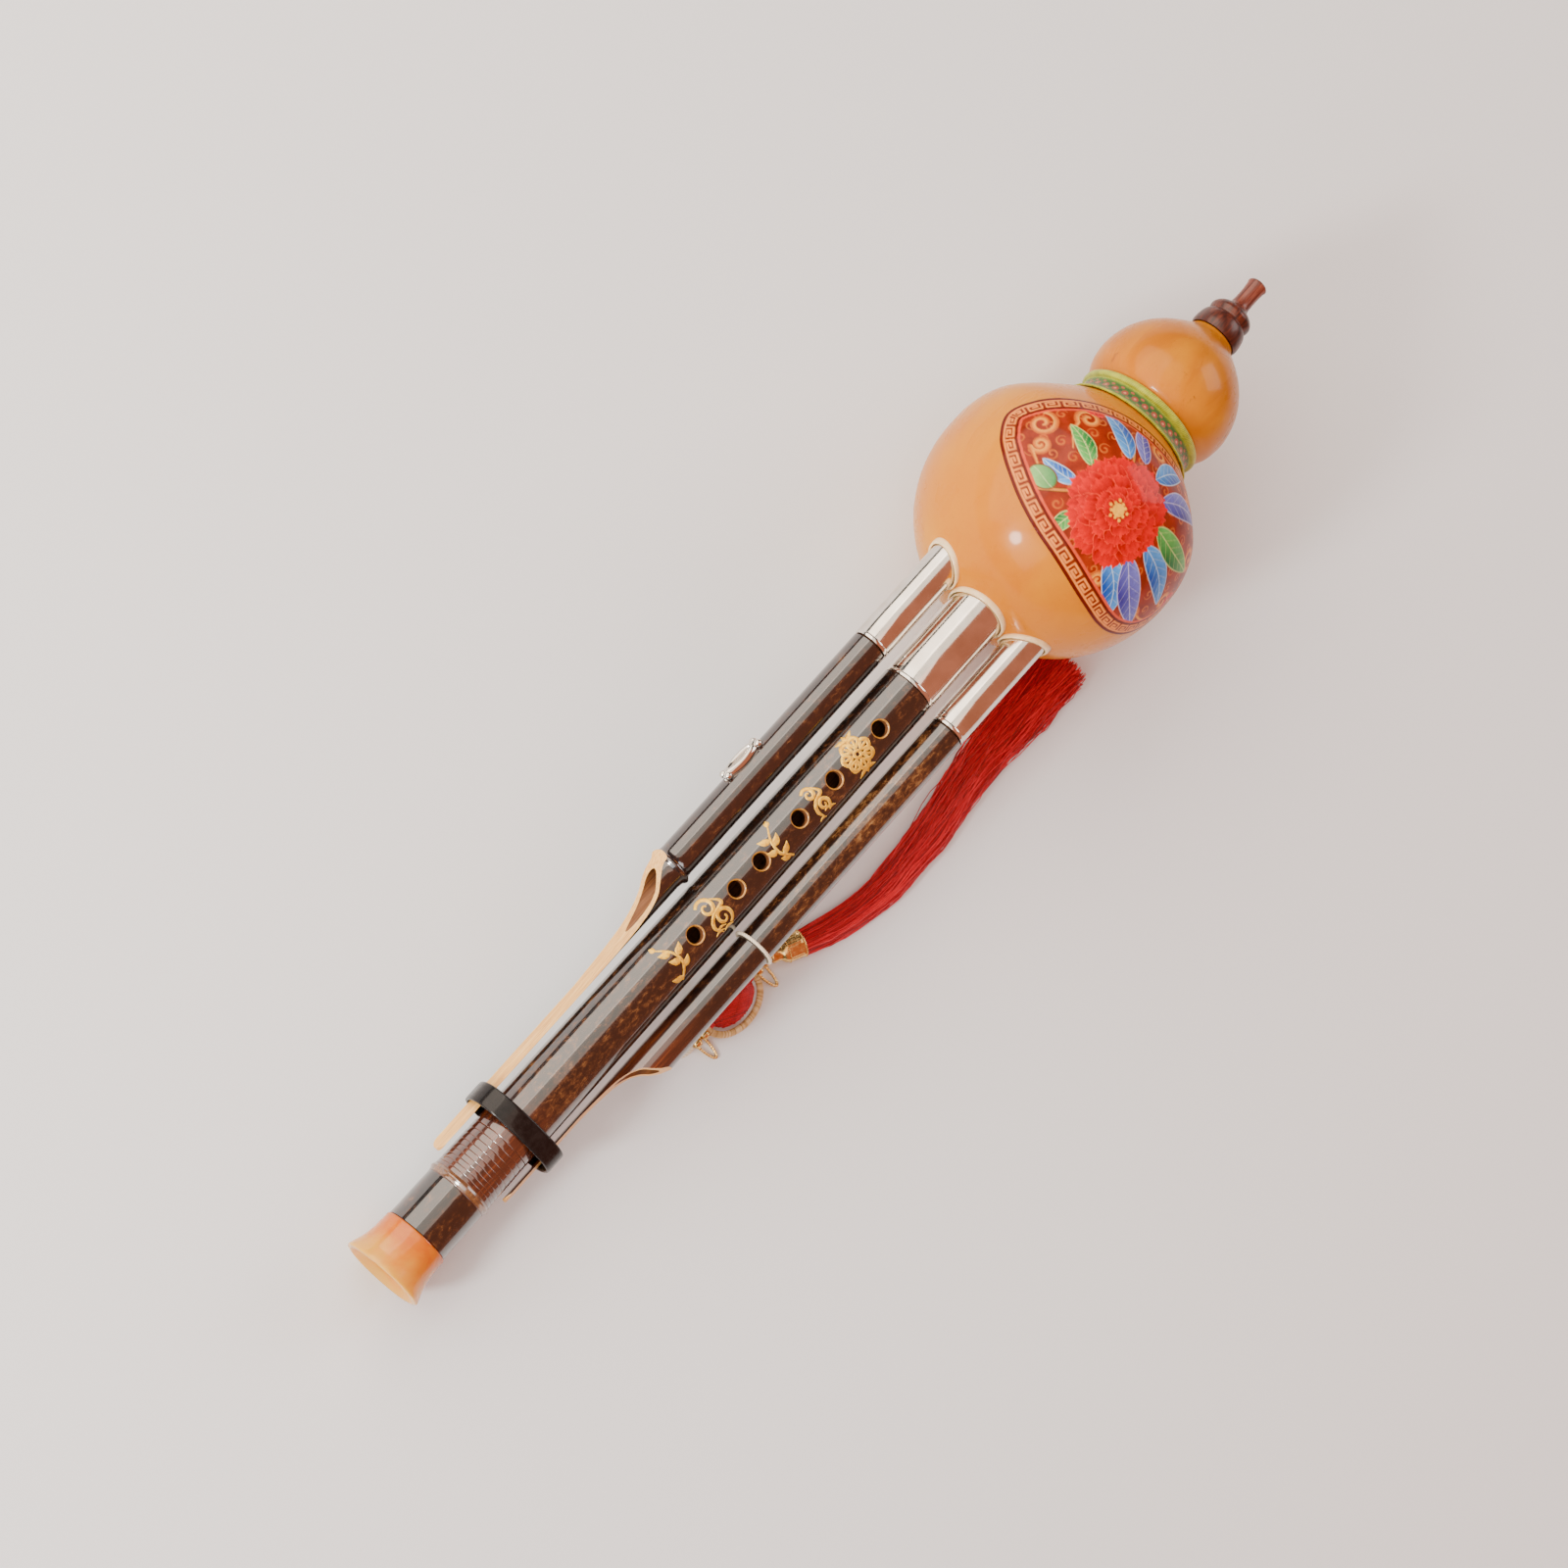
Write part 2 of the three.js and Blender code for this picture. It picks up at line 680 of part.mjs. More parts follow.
// A thin plate with a tapered tongue cut free on three sides.
function reedPlate(seat) {
  const middleAt = reedHeadTopAt - reedFlatEnd - seat.reedFlatLength / 2;
  const halfLength = seat.plateLength / 2;
  const halfWidth = seat.plateWidth / 2;
  const corners = rectangle(-halfLength, halfLength, halfWidth);
  const shape = new THREE.Shape(corners.map(([along, across]) => new THREE.Vector2(along, across)));
  const rootAt = -seat.tongueLength / 2;
  const tipAt = seat.tongueLength / 2;
  const rootHalf = seat.tongueWidth / 2;
  const tipHalf = rootHalf * tongueTipWidthShare;
  const slit = new THREE.Path();
  slit.moveTo(rootAt, rootHalf + reedSlit);
  slit.lineTo(tipAt + reedSlit, tipHalf + reedSlit);
  slit.lineTo(tipAt + reedSlit, -tipHalf - reedSlit);
  slit.lineTo(rootAt, -rootHalf - reedSlit);
  slit.lineTo(rootAt, -rootHalf);
  slit.lineTo(tipAt, -tipHalf);
  slit.lineTo(tipAt, tipHalf);
  slit.lineTo(rootAt, rootHalf);
  slit.closePath();
  shape.holes.push(slit);
  const geometry = new THREE.ExtrudeGeometry(shape, { depth: reedPlateThickness, bevelEnabled: false });
  geometry.translate(middleAt, seat.y, seat.reedFlat + fitGap);
  return asSolid(geometry);
}

function roundedOval(halfWidth, halfHeight) {
  const points = [];
  for (let step = 0; step < ringSides; step += 1) {
    const angle = (2 * Math.PI * (step + 0.5)) / ringSides;
    const c = Math.cos(angle);
    const s = Math.sin(angle);
    const reach = (Math.abs(c) ** ringSquareness + Math.abs(s) ** ringSquareness) ** (-1 / ringSquareness);
    points.push(new THREE.Vector2(halfHeight * s * reach, halfWidth * c * reach));
  }
  return points;
}

// The oval is drawn with Z as its first direction, then stood across the pipes.
function bindingRing() {
  const toFace = ringWall - ringChamfer;
  const shape = new THREE.Shape(roundedOval(ringInnerHalfWidth + toFace, ringInnerHalfHeight + toFace));
  const geometry = new THREE.ExtrudeGeometry(shape, {
    depth: ringLength - 2 * ringChamfer,
    bevelEnabled: true,
    bevelThickness: ringChamfer,
    bevelSize: ringChamfer,
    bevelSegments: 1,
  });
  geometry.translate(0, 0, ringAt + ringChamfer);
  const hole = new THREE.Shape(roundedOval(ringInnerHalfWidth, ringInnerHalfHeight));
  const bore = new THREE.ExtrudeGeometry(hole, { depth: ringLength + 2 * cutOverrun, bevelEnabled: false });
  bore.translate(0, 0, ringAt - cutOverrun);
  const ring = asSolid(geometry).subtract(asSolid(bore));
  const stand = new THREE.Matrix4().makeBasis(
    new THREE.Vector3(0, 0, -1),
    new THREE.Vector3(0, 1, 0),
    new THREE.Vector3(1, 0, 0),
  );
  return placed(ring, stand);
}

function almond(halfLength, halfWidth) {
  const points = [];
  for (let step = 0; step <= escutcheonArcSteps; step += 1) {
    const along = -1 + (2 * step) / escutcheonArcSteps;
    points.push([along * halfLength, halfWidth * (1 - along * along)]);
  }
  for (let step = escutcheonArcSteps - 1; step > 0; step -= 1) {
    const along = -1 + (2 * step) / escutcheonArcSteps;
    points.push([along * halfLength, -halfWidth * (1 - along * along)]);
  }
  return points;
}

// A cast saddle on the outer side of the drone, open in the middle, with two balls at each end.
function escutcheon() {
  const outerHalf = escutcheonHalfLength + escutcheonBallOut;
  const seatRadius = droneRadius + fitGap;
  const skinRadius = seatRadius + escutcheonRise;
  const half = skinRadius + cutOverrun;
  const plate = slab(almond(outerHalf, escutcheonHalfWidth), half / 2, Math.PI / 2);
  const slot = slab(almond(escutcheonSlotHalfLength, escutcheonSlotHalfWidth), half / 2, Math.PI / 2);
  let body = moved(plate, 0, half / 2, 0).intersect(rod(-outerHalf, outerHalf, skinRadius, ferruleSides));
  const ballReach = seatRadius + escutcheonBallRadius * escutcheonBallSeatShare;
  for (const end of [-1, 1]) {
    for (const edge of [-1, 1]) {
      const ball = sphere(escutcheonBallRadius, escutcheonBallSides);
      const depth = Math.sqrt(ballReach ** 2 - escutcheonBallSpread ** 2);
      body = body.add(moved(ball, end * escutcheonHalfLength, depth, edge * escutcheonBallSpread));
    }
  }
  body = body.subtract(moved(slot, 0, half / 2, 0));
  body = body.subtract(rod(-2 * outerHalf, 2 * outerHalf, seatRadius, ferruleSides * 2));
  return moved(placed(body, escutcheonMatrix()), escutcheonAt, droneSpacing, 0);
}

function circleShape(radius, sides) {
  const points = [];
  for (let step = 0; step < sides; step += 1) {
    const angle = (2 * Math.PI * step) / sides;
    points.push(new THREE.Vector2(radius * Math.cos(angle), radius * Math.sin(angle)));
  }
  return new THREE.Shape(points);
}

function threadLoop() {
  const middle = droneRadius + fitGap + cordRadius;
  const outline = [];
  for (let step = 0; step < cordSides; step += 1) {
    const angle = (2 * Math.PI * (step + 0.5)) / cordSides;
    outline.push([cordRadius * Math.cos(angle), middle + cordRadius * Math.sin(angle)]);
  }
  return moved(turnedSolid(outline, loopSides, true), loopAt, -droneSpacing, 0);
}

function smoothPath(route) {
  const points = route.map(([x, y, z]) => new THREE.Vector3(x, y, z));
  return new THREE.CatmullRomCurve3(points, false, "centripetal");
}

function swept(route, shape, steps) {
  const extrudePath = smoothPath(route);
  const geometry = new THREE.ExtrudeGeometry(shape, { steps, extrudePath, bevelEnabled: false });
  return asSolid(geometry);
}

function bead(x) {
  return moved(sphere(beadRadius, beadSides), x, tasselY, tasselAxisHeight);
}

// A flat oval ring of round wire: a torus that is stretched or squeezed along X.
function ovalRing(halfLength, halfWidth, tubeRadius, tubeSides) {
  const ring = new THREE.TorusGeometry(halfWidth - tubeRadius, tubeRadius, tubeSides, ornamentSides);
  const position = ring.getAttribute("position");
  for (let i = 0; i < position.count; i += 1) {
    const angle = Math.atan2(position.getY(i), position.getX(i));
    position.setX(i, position.getX(i) + (halfLength - halfWidth) * Math.cos(angle));
  }
  return asSolid(ring);
}

function ornamentRing() {
  const ring = ovalRing(ornamentHalfLength, ornamentHalfWidth, ornamentTubeRadius, ornamentTubeSides);
  return moved(ring, ornamentX, tasselY, tasselAxisHeight);
}

function ornamentKnot() {
  const inset = 2 * ornamentTubeRadius + knotGap;
  const ball = new THREE.SphereGeometry(1, knotSides, knotSides / 2);
  ball.rotateX(Math.PI / 2);
  ball.scale(ornamentHalfLength - inset, ornamentHalfWidth - inset, knotHalfThickness);
  return moved(asSolid(ball), ornamentX, tasselY, tasselAxisHeight);
}

// A gilt wire loop that lies crosswise under the two beads of one end.
function crossWire(end) {
  const wire = ovalRing(wireHalfLength, wireHalfWidth, wireRadius, wireSides);
  return moved(wire, (beadX(end, 0) + beadX(end, 1)) / 2, tasselY, wireHeight);
}

function beadX(end, place) {
  const first = ornamentHalfLength + fitGap + beadRadius;
  return ornamentX + end * (first + place * (2 * beadRadius + fitGap));
}

// The cap is turned on X, flattened to lie on the surface, then turned to the fringe's start.
function tasselCap() {
  const outline = [
    [-capLength, 0],
    [-capLength, capTopRadius],
    [capShoulderAt - capLength, capShoulderRadius],
    [capFlareAt - capLength, capFlareRadius],
    [0, capFootRadius],
    [0, 0],
  ];
  const flat = tasselAxisHeight / capFootRadius;
  const geometry = turned(outline, knotSides);
  geometry.translate(-fitGap, 0, 0);
  geometry.scale(1, 1, flat);
  geometry.rotateZ(capTurnDeg * degree);
  const [x, y, z] = fringeRoute[0];
  return moved(asSolid(geometry), x, y, z);
}

function fringe() {
  const points = [];
  for (let step = 0; step < fringeSectionSides; step += 1) {
    const angle = (2 * Math.PI * (step + 0.5)) / fringeSectionSides;
    points.push(new THREE.Vector2(fringeHalfHeight * Math.cos(angle), fringeHalfWidth * Math.sin(angle)));
  }
  const path = smoothPath(fringeRoute);
  const shape = new THREE.Shape(points);
  const options = { steps: fringeSteps, extrudePath: path, bevelEnabled: false };
  const geometry = new THREE.ExtrudeGeometry(shape, options);
  const position = geometry.getAttribute("position");
  const along = path.getSpacedPoints(fringeSteps);
  const point = new THREE.Vector3();
  for (let i = 0; i < position.count; i += 1) {
    point.fromBufferAttribute(position, i);
    let nearest = 0;
    for (let step = 1; step < along.length; step += 1) {
      if (along[step].distanceTo(point) < along[nearest].distanceTo(point)) {
        nearest = step;
      }
    }
    const share = fringeStartShare + (fringeEndShare - fringeStartShare) * (nearest / fringeSteps);
    const middle = along[nearest];
    position.setXYZ(
      i,
      middle.x + (point.x - middle.x) * share,
      middle.y + (point.y - middle.y) * share,
      point.z,
    );
  }
  return asSolid(geometry);
}

const mainSeat = {
  at: mainFerruleAt,
  y: 0,
  radius: mainFerruleRadius,
  wall: mainFerruleWall,
  reedBore: mainReedBoreRadius,
  reedFlat: mainReedFlat,
  reedFlatLength: mainReedPlateLength + 2 * mainReedPlateRoom,
  plateLength: mainReedPlateLength,
  plateWidth: mainReedPlateWidth,
  tongueLength: mainTongueLength,
  tongueWidth: mainTongueWidth,
};
const droneSeat = {
  radius: droneFerruleRadius,
  wall: droneFerruleWall,
  reedBore: droneReedBoreRadius,
  reedFlat: droneReedFlat,
  reedFlatLength: droneReedPlateLength + 2 * droneReedPlateRoom,
  plateLength: droneReedPlateLength,
  plateWidth: droneReedPlateWidth,
  tongueLength: droneTongueLength,
  tongueWidth: droneTongueWidth,
};
const leftSeat = {
  ...droneSeat,
  at: leftFerruleAt,
  y: droneSpacing,
  tongueEndAt: leftTongueEndAt,
  scoopTopAt: leftScoopTopAt,
  scoopLength: leftScoopLength,
};
const rightSeat = {
  ...droneSeat,
  at: rightFerruleAt,
  y: -droneSpacing,
  tongueEndAt: rightTongueEndAt,
  scoopTopAt: rightScoopTopAt,
  scoopLength: rightScoopLength,
};

function instrumentPieces() {
  return [
    ["gourd_shell", gourdShell([mainSeat, leftSeat, rightSeat]), "gourd"],
    ["waist_band", waistBand(), "ribbon"],
    ["mouthpiece", mouthpiece(), "rosewood"],
    ["mouthpiece_cork", mouthCork(), "cork"],
    ["main_collar", collar(mainSeat), "cream"],
    ["left_collar", collar(leftSeat), "cream"],
    ["right_collar", collar(rightSeat), "cream"],
    ["main_ferrule", ferrule(mainSeat), "nickel"],
    ["left_ferrule", ferrule(leftSeat), "nickel"],
    ["right_ferrule", ferrule(rightSeat), "nickel"],
    ["main_reed_head", reedHead(mainSeat), "paleBamboo"],
    ["left_reed_head", reedHead(leftSeat), "paleBamboo"],
    ["right_reed_head", reedHead(rightSeat), "paleBamboo"],
    ["main_reed", reedPlate(mainSeat), "brass"],
    ["left_reed", reedPlate(leftSeat), "brass"],
    ["right_reed", reedPlate(rightSeat), "brass"],
    ["main_pipe", mainPipe(), "darkBamboo"],
    ["main_lapping", lapping(mainSeat), "thread"],
    ["bell_foot", bellFoot(), "amber"],
    ["left_drone", drone(leftSeat, 1), "darkBamboo"],
    ["left_lapping", lapping(leftSeat), "thread"],
    ["left_escutcheon", escutcheon(), "nickel"],
    ["right_drone", drone(rightSeat, -1), "darkBamboo"],
    ["right_lapping", lapping(rightSeat), "thread"],
    ["binding_ring", bindingRing(), "blackRing"],
    ["tassel_loop", threadLoop(), "creamCord"],
  ];
}

function tasselPieces() {
  return [
    ["tassel_cord", swept(cordRoute, circleShape(cordRadius, cordSides), cordSteps), "creamCord"],
    ["tassel_bead_1", bead(beadX(-1, 1)), "gilt"],
    ["tassel_bead_2", bead(beadX(-1, 0)), "gilt"],
    ["tassel_head_wire", crossWire(-1), "gilt"],
    ["tassel_ring", ornamentRing(), "gilt"],
    ["tassel_knot", ornamentKnot(), "silk"],
    ["tassel_bead_3", bead(beadX(1, 0)), "gilt"],
    ["tassel_bead_4", bead(beadX(1, 1)), "gilt"],
    ["tassel_foot_wire", crossWire(1), "gilt"],
    ["tassel_cap", tasselCap(), "gilt"],
    ["tassel_fringe", fringe(), "silk"],
  ];
}

function layDown(group) {
  const lay = new THREE.Matrix4().makeRotationY(-restAngle());
  const box = new THREE.Box3();
  for (const mesh of group.children) {
    mesh.geometry.applyMatrix4(lay);
    mesh.geometry.computeBoundingBox();
    if (mesh.name !== "tassel_loop") {
      box.union(mesh.geometry.boundingBox);
    }
  }
  const middle = box.getCenter(new THREE.Vector3());
  for (const mesh of group.children) {
    mesh.geometry.translate(-middle.x, -middle.y, -box.min.z);
  }
}

const hulusi = new THREE.Group();
hulusi.name = "hulusi";
for (const [name, solid, look] of instrumentPieces()) {
  hulusi.add(asMesh(name, solid, look));
}
layDown(hulusi);
for (const [name, solid, look] of tasselPieces()) {
  hulusi.add(asMesh(name, solid, look));
}
for (const mesh of hulusi.children) {
  mesh.geometry.computeVertexNormals();
}

export default hulusi;
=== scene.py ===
import math

import bmesh
import bpy
import numpy as np
from mathutils import Matrix, Vector


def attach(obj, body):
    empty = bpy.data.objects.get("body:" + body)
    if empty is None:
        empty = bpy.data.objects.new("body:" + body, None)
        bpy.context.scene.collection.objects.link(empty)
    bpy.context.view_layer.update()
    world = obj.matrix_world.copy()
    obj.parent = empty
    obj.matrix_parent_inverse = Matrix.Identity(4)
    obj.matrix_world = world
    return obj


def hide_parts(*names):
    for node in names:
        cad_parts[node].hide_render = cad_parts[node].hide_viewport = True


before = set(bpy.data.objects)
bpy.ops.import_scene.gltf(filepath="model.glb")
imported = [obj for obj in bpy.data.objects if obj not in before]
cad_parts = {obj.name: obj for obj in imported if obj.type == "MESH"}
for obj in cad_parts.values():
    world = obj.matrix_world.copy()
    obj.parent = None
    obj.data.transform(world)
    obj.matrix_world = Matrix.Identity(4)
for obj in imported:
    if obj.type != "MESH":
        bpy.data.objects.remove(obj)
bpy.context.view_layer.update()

mm = 0.001

# How the instrument lies: its own drawing has X from the bell's mouth to the mouthpiece,
# Y to the left drone and Z out of the finger holes, all in millimetres.
rest = {
    "angle": 0.12330569017999292,
    "shiftX": -213.80512565374374,
    "shiftZ": 13.63549518585205,
    "gourdCentreAt": 322.3,
    "gourdCentreBack": 8.9,
    "gourdLean": math.radians(3.6),
}
pipeSides = {"main": 0.0, "left": 18.2, "right": -18.2}


def toWorld(points):
    p = np.asarray(points, float)
    c, s = math.cos(rest["angle"]), math.sin(rest["angle"])
    x = p[..., 0] * c - p[..., 2] * s + rest["shiftX"]
    z = p[..., 0] * s + p[..., 2] * c + rest["shiftZ"]
    return np.stack([x, p[..., 1], z], -1) * mm


def gourdToWorld(points):
    p = np.asarray(points, float)
    c, s = math.cos(rest["gourdLean"]), math.sin(rest["gourdLean"])
    x = p[..., 0] * c + p[..., 2] * s + rest["gourdCentreAt"]
    z = -p[..., 0] * s + p[..., 2] * c - rest["gourdCentreBack"]
    return toWorld(np.stack([x, p[..., 1], z], -1))


def asWorld(points):
    return np.asarray(points, float) * mm


def besidePipe(pipe):
    # places points that are drawn round this pipe's own axis
    def place(points):
        return toWorld(np.asarray(points, float) + (0, pipeSides[pipe], 0))
    return place


def roundTurn(count):
    return 2 * math.pi * np.arange(count) / count


def wayAlong(points):
    steps = np.linalg.norm(np.diff(points, axis=0), axis=1)
    return np.concatenate([[0], np.cumsum(steps)])


def circleAt(along, radius, count):
    a = roundTurn(count)
    return np.stack([np.full(count, float(along)), radius * np.sin(a), radius * np.cos(a)], -1)


def addObject(name, data):
    made = bpy.data.objects.new(name, data)
    bpy.context.scene.collection.objects.link(made)
    return made


view = {
    "place": (-0.585135, 0.293468, 1.450927),
    "right": (0.60570785, -0.69755738, 0.38279459),
    "up": (0.70690107, 0.6925935, 0.14354482),
    "ahead": (0.36525179, -0.18365168, -0.91261338),
    "focalPixels": 5116.455,
    "photoPixels": 1600,
    "sensor": 36.0,
    "clip": (0.01, 50),
}


def makeCamera():
    data = bpy.data.cameras.new("camera")
    data.sensor_fit = "AUTO"
    data.sensor_width = view["sensor"]
    data.lens = view["focalPixels"] * view["sensor"] / view["photoPixels"]
    data.clip_start, data.clip_end = view["clip"]
    camera = addObject("camera", data)
    turn = Matrix((view["right"], view["up"], [-a for a in view["ahead"]])).transposed()
    camera.matrix_world = Matrix.Translation(Vector(view["place"])) @ turn.to_4x4()
    bpy.context.scene.camera = camera


studio = {
    "floorHalf": 6.0, "floorColor": (0.82, 0.865, 0.915), "floorRough": 0.9,
    "airColor": (0.95, 0.96, 1.0), "airStrength": 0.11, "aim": (0.0, 0.0, 0.03),
}
daylight, fillLight, cardLight = (1.0, 0.86, 0.72), (1.0, 0.98, 0.96), (1.0, 0.18, 0.0)
lamps = {
    "softWindow": {"from": (-0.1, 0.8, 0.6), "away": 1.5, "size": (1.3, 2.6), "watts": 46, "color": daylight},
    "windowSill": {"from": (-0.10, 0.24, 0.97), "away": 1.5, "size": (0.86, 2.6), "watts": 12.5,
                   "color": daylight},
    "highLamp": {"from": (-0.824, 0.325, 0.464), "away": 1.6, "size": (0.28, 0.28), "watts": 19,
                 "color": (1.0, 0.95, 0.88), "shape": "ELLIPSE", "aim": (0.08, 0, 0.05)},
    "warmCard": {"from": (0, -0.68, 0.73), "away": 1.2, "size": (2.7, 2.6), "watts": 12, "color": cardLight},
    "farFill": {"from": (0.75, -0.35, 0.5), "away": 2.2, "size": (1.0, 1.0), "watts": 14, "color": fillLight},
    "nearFill": {"from": (-0.85, 0.1, 0.5), "away": 2.2, "size": (1.0, 1.0), "watts": 12, "color": fillLight},
}


def areaLight(name, lamp):
    data = bpy.data.lights.new(name, "AREA")
    data.shape = lamp.get("shape", "RECTANGLE")
    data.size, data.size_y = lamp["size"]
    data.energy = lamp["watts"]
    data.color = lamp["color"]
    made = addObject(name, data)
    away = Vector(lamp["from"]).normalized()
    made.location = Vector(lamp.get("aim", studio["aim"])) + away * lamp["away"]
    made.rotation_mode = "QUATERNION"
    made.rotation_quaternion = away.to_track_quat("Z", "X")


def makeStage():
    mesh = bpy.data.meshes.new("floor")
    h = studio["floorHalf"]
    mesh.from_pydata([(-h, -h, 0), (h, -h, 0), (h, h, 0), (-h, h, 0)], [], [(0, 1, 2, 3)])
    material = bpy.data.materials.new("floorPaper")
    material.use_nodes = True
    shader = material.node_tree.nodes["Principled BSDF"]
    shader.inputs["Base Color"].default_value = (*studio["floorColor"], 1)
    shader.inputs["Roughness"].default_value = studio["floorRough"]
    mesh.materials.append(material)
    addObject("floor", mesh)

    world = bpy.data.worlds.new("studio")
    world.use_nodes = True
    bpy.context.scene.world = world
    background = world.node_tree.nodes["Background"]
    background.inputs["Color"].default_value = (*studio["airColor"], 1)
    background.inputs["Strength"].default_value = studio["airStrength"]
    for name, lamp in lamps.items():
        areaLight(name, lamp)


makeCamera()
makeStage()
print("camera and stage ready")


def linear(red, green, blue):
    values = []
    for v in (red, green, blue):
        c = v / 255
        values.append(c / 12.92 if c <= 0.04045 else ((c + 0.055) / 1.055) ** 2.4)
    return (*values, 1.0)


class NodeTree:
    def node(self, kind, inputs=None, **settings):
        made = self.tree.nodes.new(kind)
        for key, value in settings.items():
            setattr(made, key, value)
        for key, value in (inputs or {}).items():
            self.put(made.inputs[key], value)
        return made

    def put(self, socket, value):
        if isinstance(value, bpy.types.NodeSocket):
            self.tree.links.new(value, socket)
        else:
            socket.default_value = value

    def math(self, operation, a, b=0.0):
        return self.node("ShaderNodeMath", {0: a, 1: b}, operation=operation).outputs[0]

    def vector(self, operation, a, b=(0, 0, 0)):
        return self.node("ShaderNodeVectorMath", {0: a, 1: b}, operation=operation).outputs[0]

    def add(self, a, b):
        return self.math("ADD", a, b)

    def minus(self, a, b):
        return self.math("SUBTRACT", a, b)

    def times(self, a, b):
        return self.math("MULTIPLY", a, b)


class Finish(NodeTree):
    def __init__(self, name):
        self.material = bpy.data.materials.new(name)
        self.material.use_nodes = True
        self.tree = self.material.node_tree
        self.tree.nodes.clear()
        output = self.tree.nodes.new("ShaderNodeOutputMaterial")
        self.shader = self.tree.nodes.new("ShaderNodeBsdfPrincipled")
        self.tree.links.new(self.shader.outputs[0], output.inputs[0])

    def set(self, **values):
        names = {
            "color": "Base Color", "rough": "Roughness", "metal": "Metallic", "coat": "Coat Weight",
            "coatRough": "Coat Roughness", "coatIor": "Coat IOR", "ior": "IOR", "normal": "Normal",
            "sheen": "Sheen Weight", "sheenRough": "Sheen Roughness", "sheenTint": "Sheen Tint",
            "subsurface": "Subsurface Weight", "subsurfaceScale": "Subsurface Scale",
            "subsurfaceRadius": "Subsurface Radius", "specular": "Specular IOR Level",
            "through": "Transmission Weight",
        }
        for key, value in values.items():
            self.put(self.shader.inputs[names[key]], value)

    def place(self, turn=0.0, scale=(1, 1, 1), centre=(0, 0, 0)):
        source = self.node("ShaderNodeTexCoord").outputs["Object"]
        moved = self.vector("SUBTRACT", source, centre)
        level = self.node("ShaderNodeMapping", {"Vector": moved, "Rotation": (0, turn, 0)}).outputs[0]
        return self.vector("MULTIPLY", level, scale)

    def along(self, where):
        return self.node("ShaderNodeSeparateXYZ", {0: where}).outputs[0]

    def noise(self, where, scale, detail=4.0, rough=0.55, distortion=0.0):
        inputs = {"Vector": where, "Scale": scale, "Detail": detail, "Roughness": rough,
                  "Distortion": distortion}
        return self.node("ShaderNodeTexNoise", inputs).outputs[0]

    def span(self, value, low, high, toLow=0.0, toHigh=1.0, smooth=True):
        inputs = {"Value": value, "From Min": low, "From Max": high, "To Min": toLow, "To Max": toHigh}
        kind = "SMOOTHSTEP" if smooth else "LINEAR"
        return self.node("ShaderNodeMapRange", inputs, interpolation_type=kind).outputs[0]

    def blend(self, share, under, over, kind="MIX"):
        # under and over are sockets, or colours as red, green and blue from 0 to 255
        made = self.node("ShaderNodeMix", data_type="RGBA", blend_type=kind)
        self.put(made.inputs[0], share)
        for socket, color in ((made.inputs[6], under), (made.inputs[7], over)):
            self.put(socket, linear(*color) if isinstance(color, tuple) else color)
        return made.outputs[2]

    def ramp(self, value, stops):
        made = self.node("ShaderNodeValToRGB", {"Fac": value})
        elements = made.color_ramp.elements
        while len(elements) < len(stops):
            elements.new(0.5)
        for element, (at, color) in zip(elements, stops):
            element.position = at
            element.color = linear(*color)
        return made.outputs[0]

    def bump(self, height, strength, distance):
        inputs = {"Height": height, "Strength": strength, "Distance": distance}
        return self.node("ShaderNodeBump", inputs).outputs[0]

    def attribute(self, name):
        return self.node("ShaderNodeAttribute", attribute_name=name)


def newPiece(name, points, faces, materials):
    mesh = bpy.data.meshes.new(name)
    mesh.from_pydata([tuple(p) for p in np.asarray(points, float)], [],
                     [tuple(int(i) for i in f) for f in faces])
    for material in materials:
        mesh.materials.append(material)
    mesh.update()
    piece = addObject(name, mesh)
    faceOutward(piece)
    mesh.shade_smooth()
    return piece


def faceOutward(piece):
    bm = bmesh.new()
    bm.from_mesh(piece.data)
    bmesh.ops.recalc_face_normals(bm, faces=bm.faces)
    bm.to_mesh(piece.data)
    bm.free()


def splineThrough(points, steps, closed=False):
    p = np.asarray(points, float)
    n = len(p)
    made = []
    spans = n if closed else n - 1
    for i in range(spans):
        if closed:
            a, b, c, d = (p[(i + k) % n] for k in (-1, 0, 1, 2))
        else:
            b, c = p[i], p[i + 1]
            a = p[i - 1] if i > 0 else 2 * b - c
            d = p[i + 2] if i + 2 < n else 2 * c - b
        ta, tb, tc = (max(np.linalg.norm(q), 1e-9) ** 0.5 for q in (b - a, c - b, d - c))
        m1 = (c - b) + tb * ((b - a) / ta - (c - a) / (ta + tb))
        m2 = (c - b) + tb * ((d - c) / tc - (d - b) / (tb + tc))
        t = np.linspace(0, 1, steps, endpoint=False)[:, None]
        h = (2 * t**3 - 3 * t**2 + 1, t**3 - 2 * t**2 + t, -2 * t**3 + 3 * t**2, t**3 - t**2)
        made.append(h[0] * b + h[1] * m1 + h[2] * c + h[3] * m2)
    if not closed:
        made.append(p[-1:])
    return np.concatenate(made)


def evenly(points, spacing):
    p = np.asarray(points, float)
    gone = wayAlong(p)
    count = max(int(round(gone[-1] / spacing)), 1)
    at = np.linspace(0, gone[-1], count + 1)
    return np.stack([np.interp(at, gone, p[:, k]) for k in range(p.shape[1])], -1)


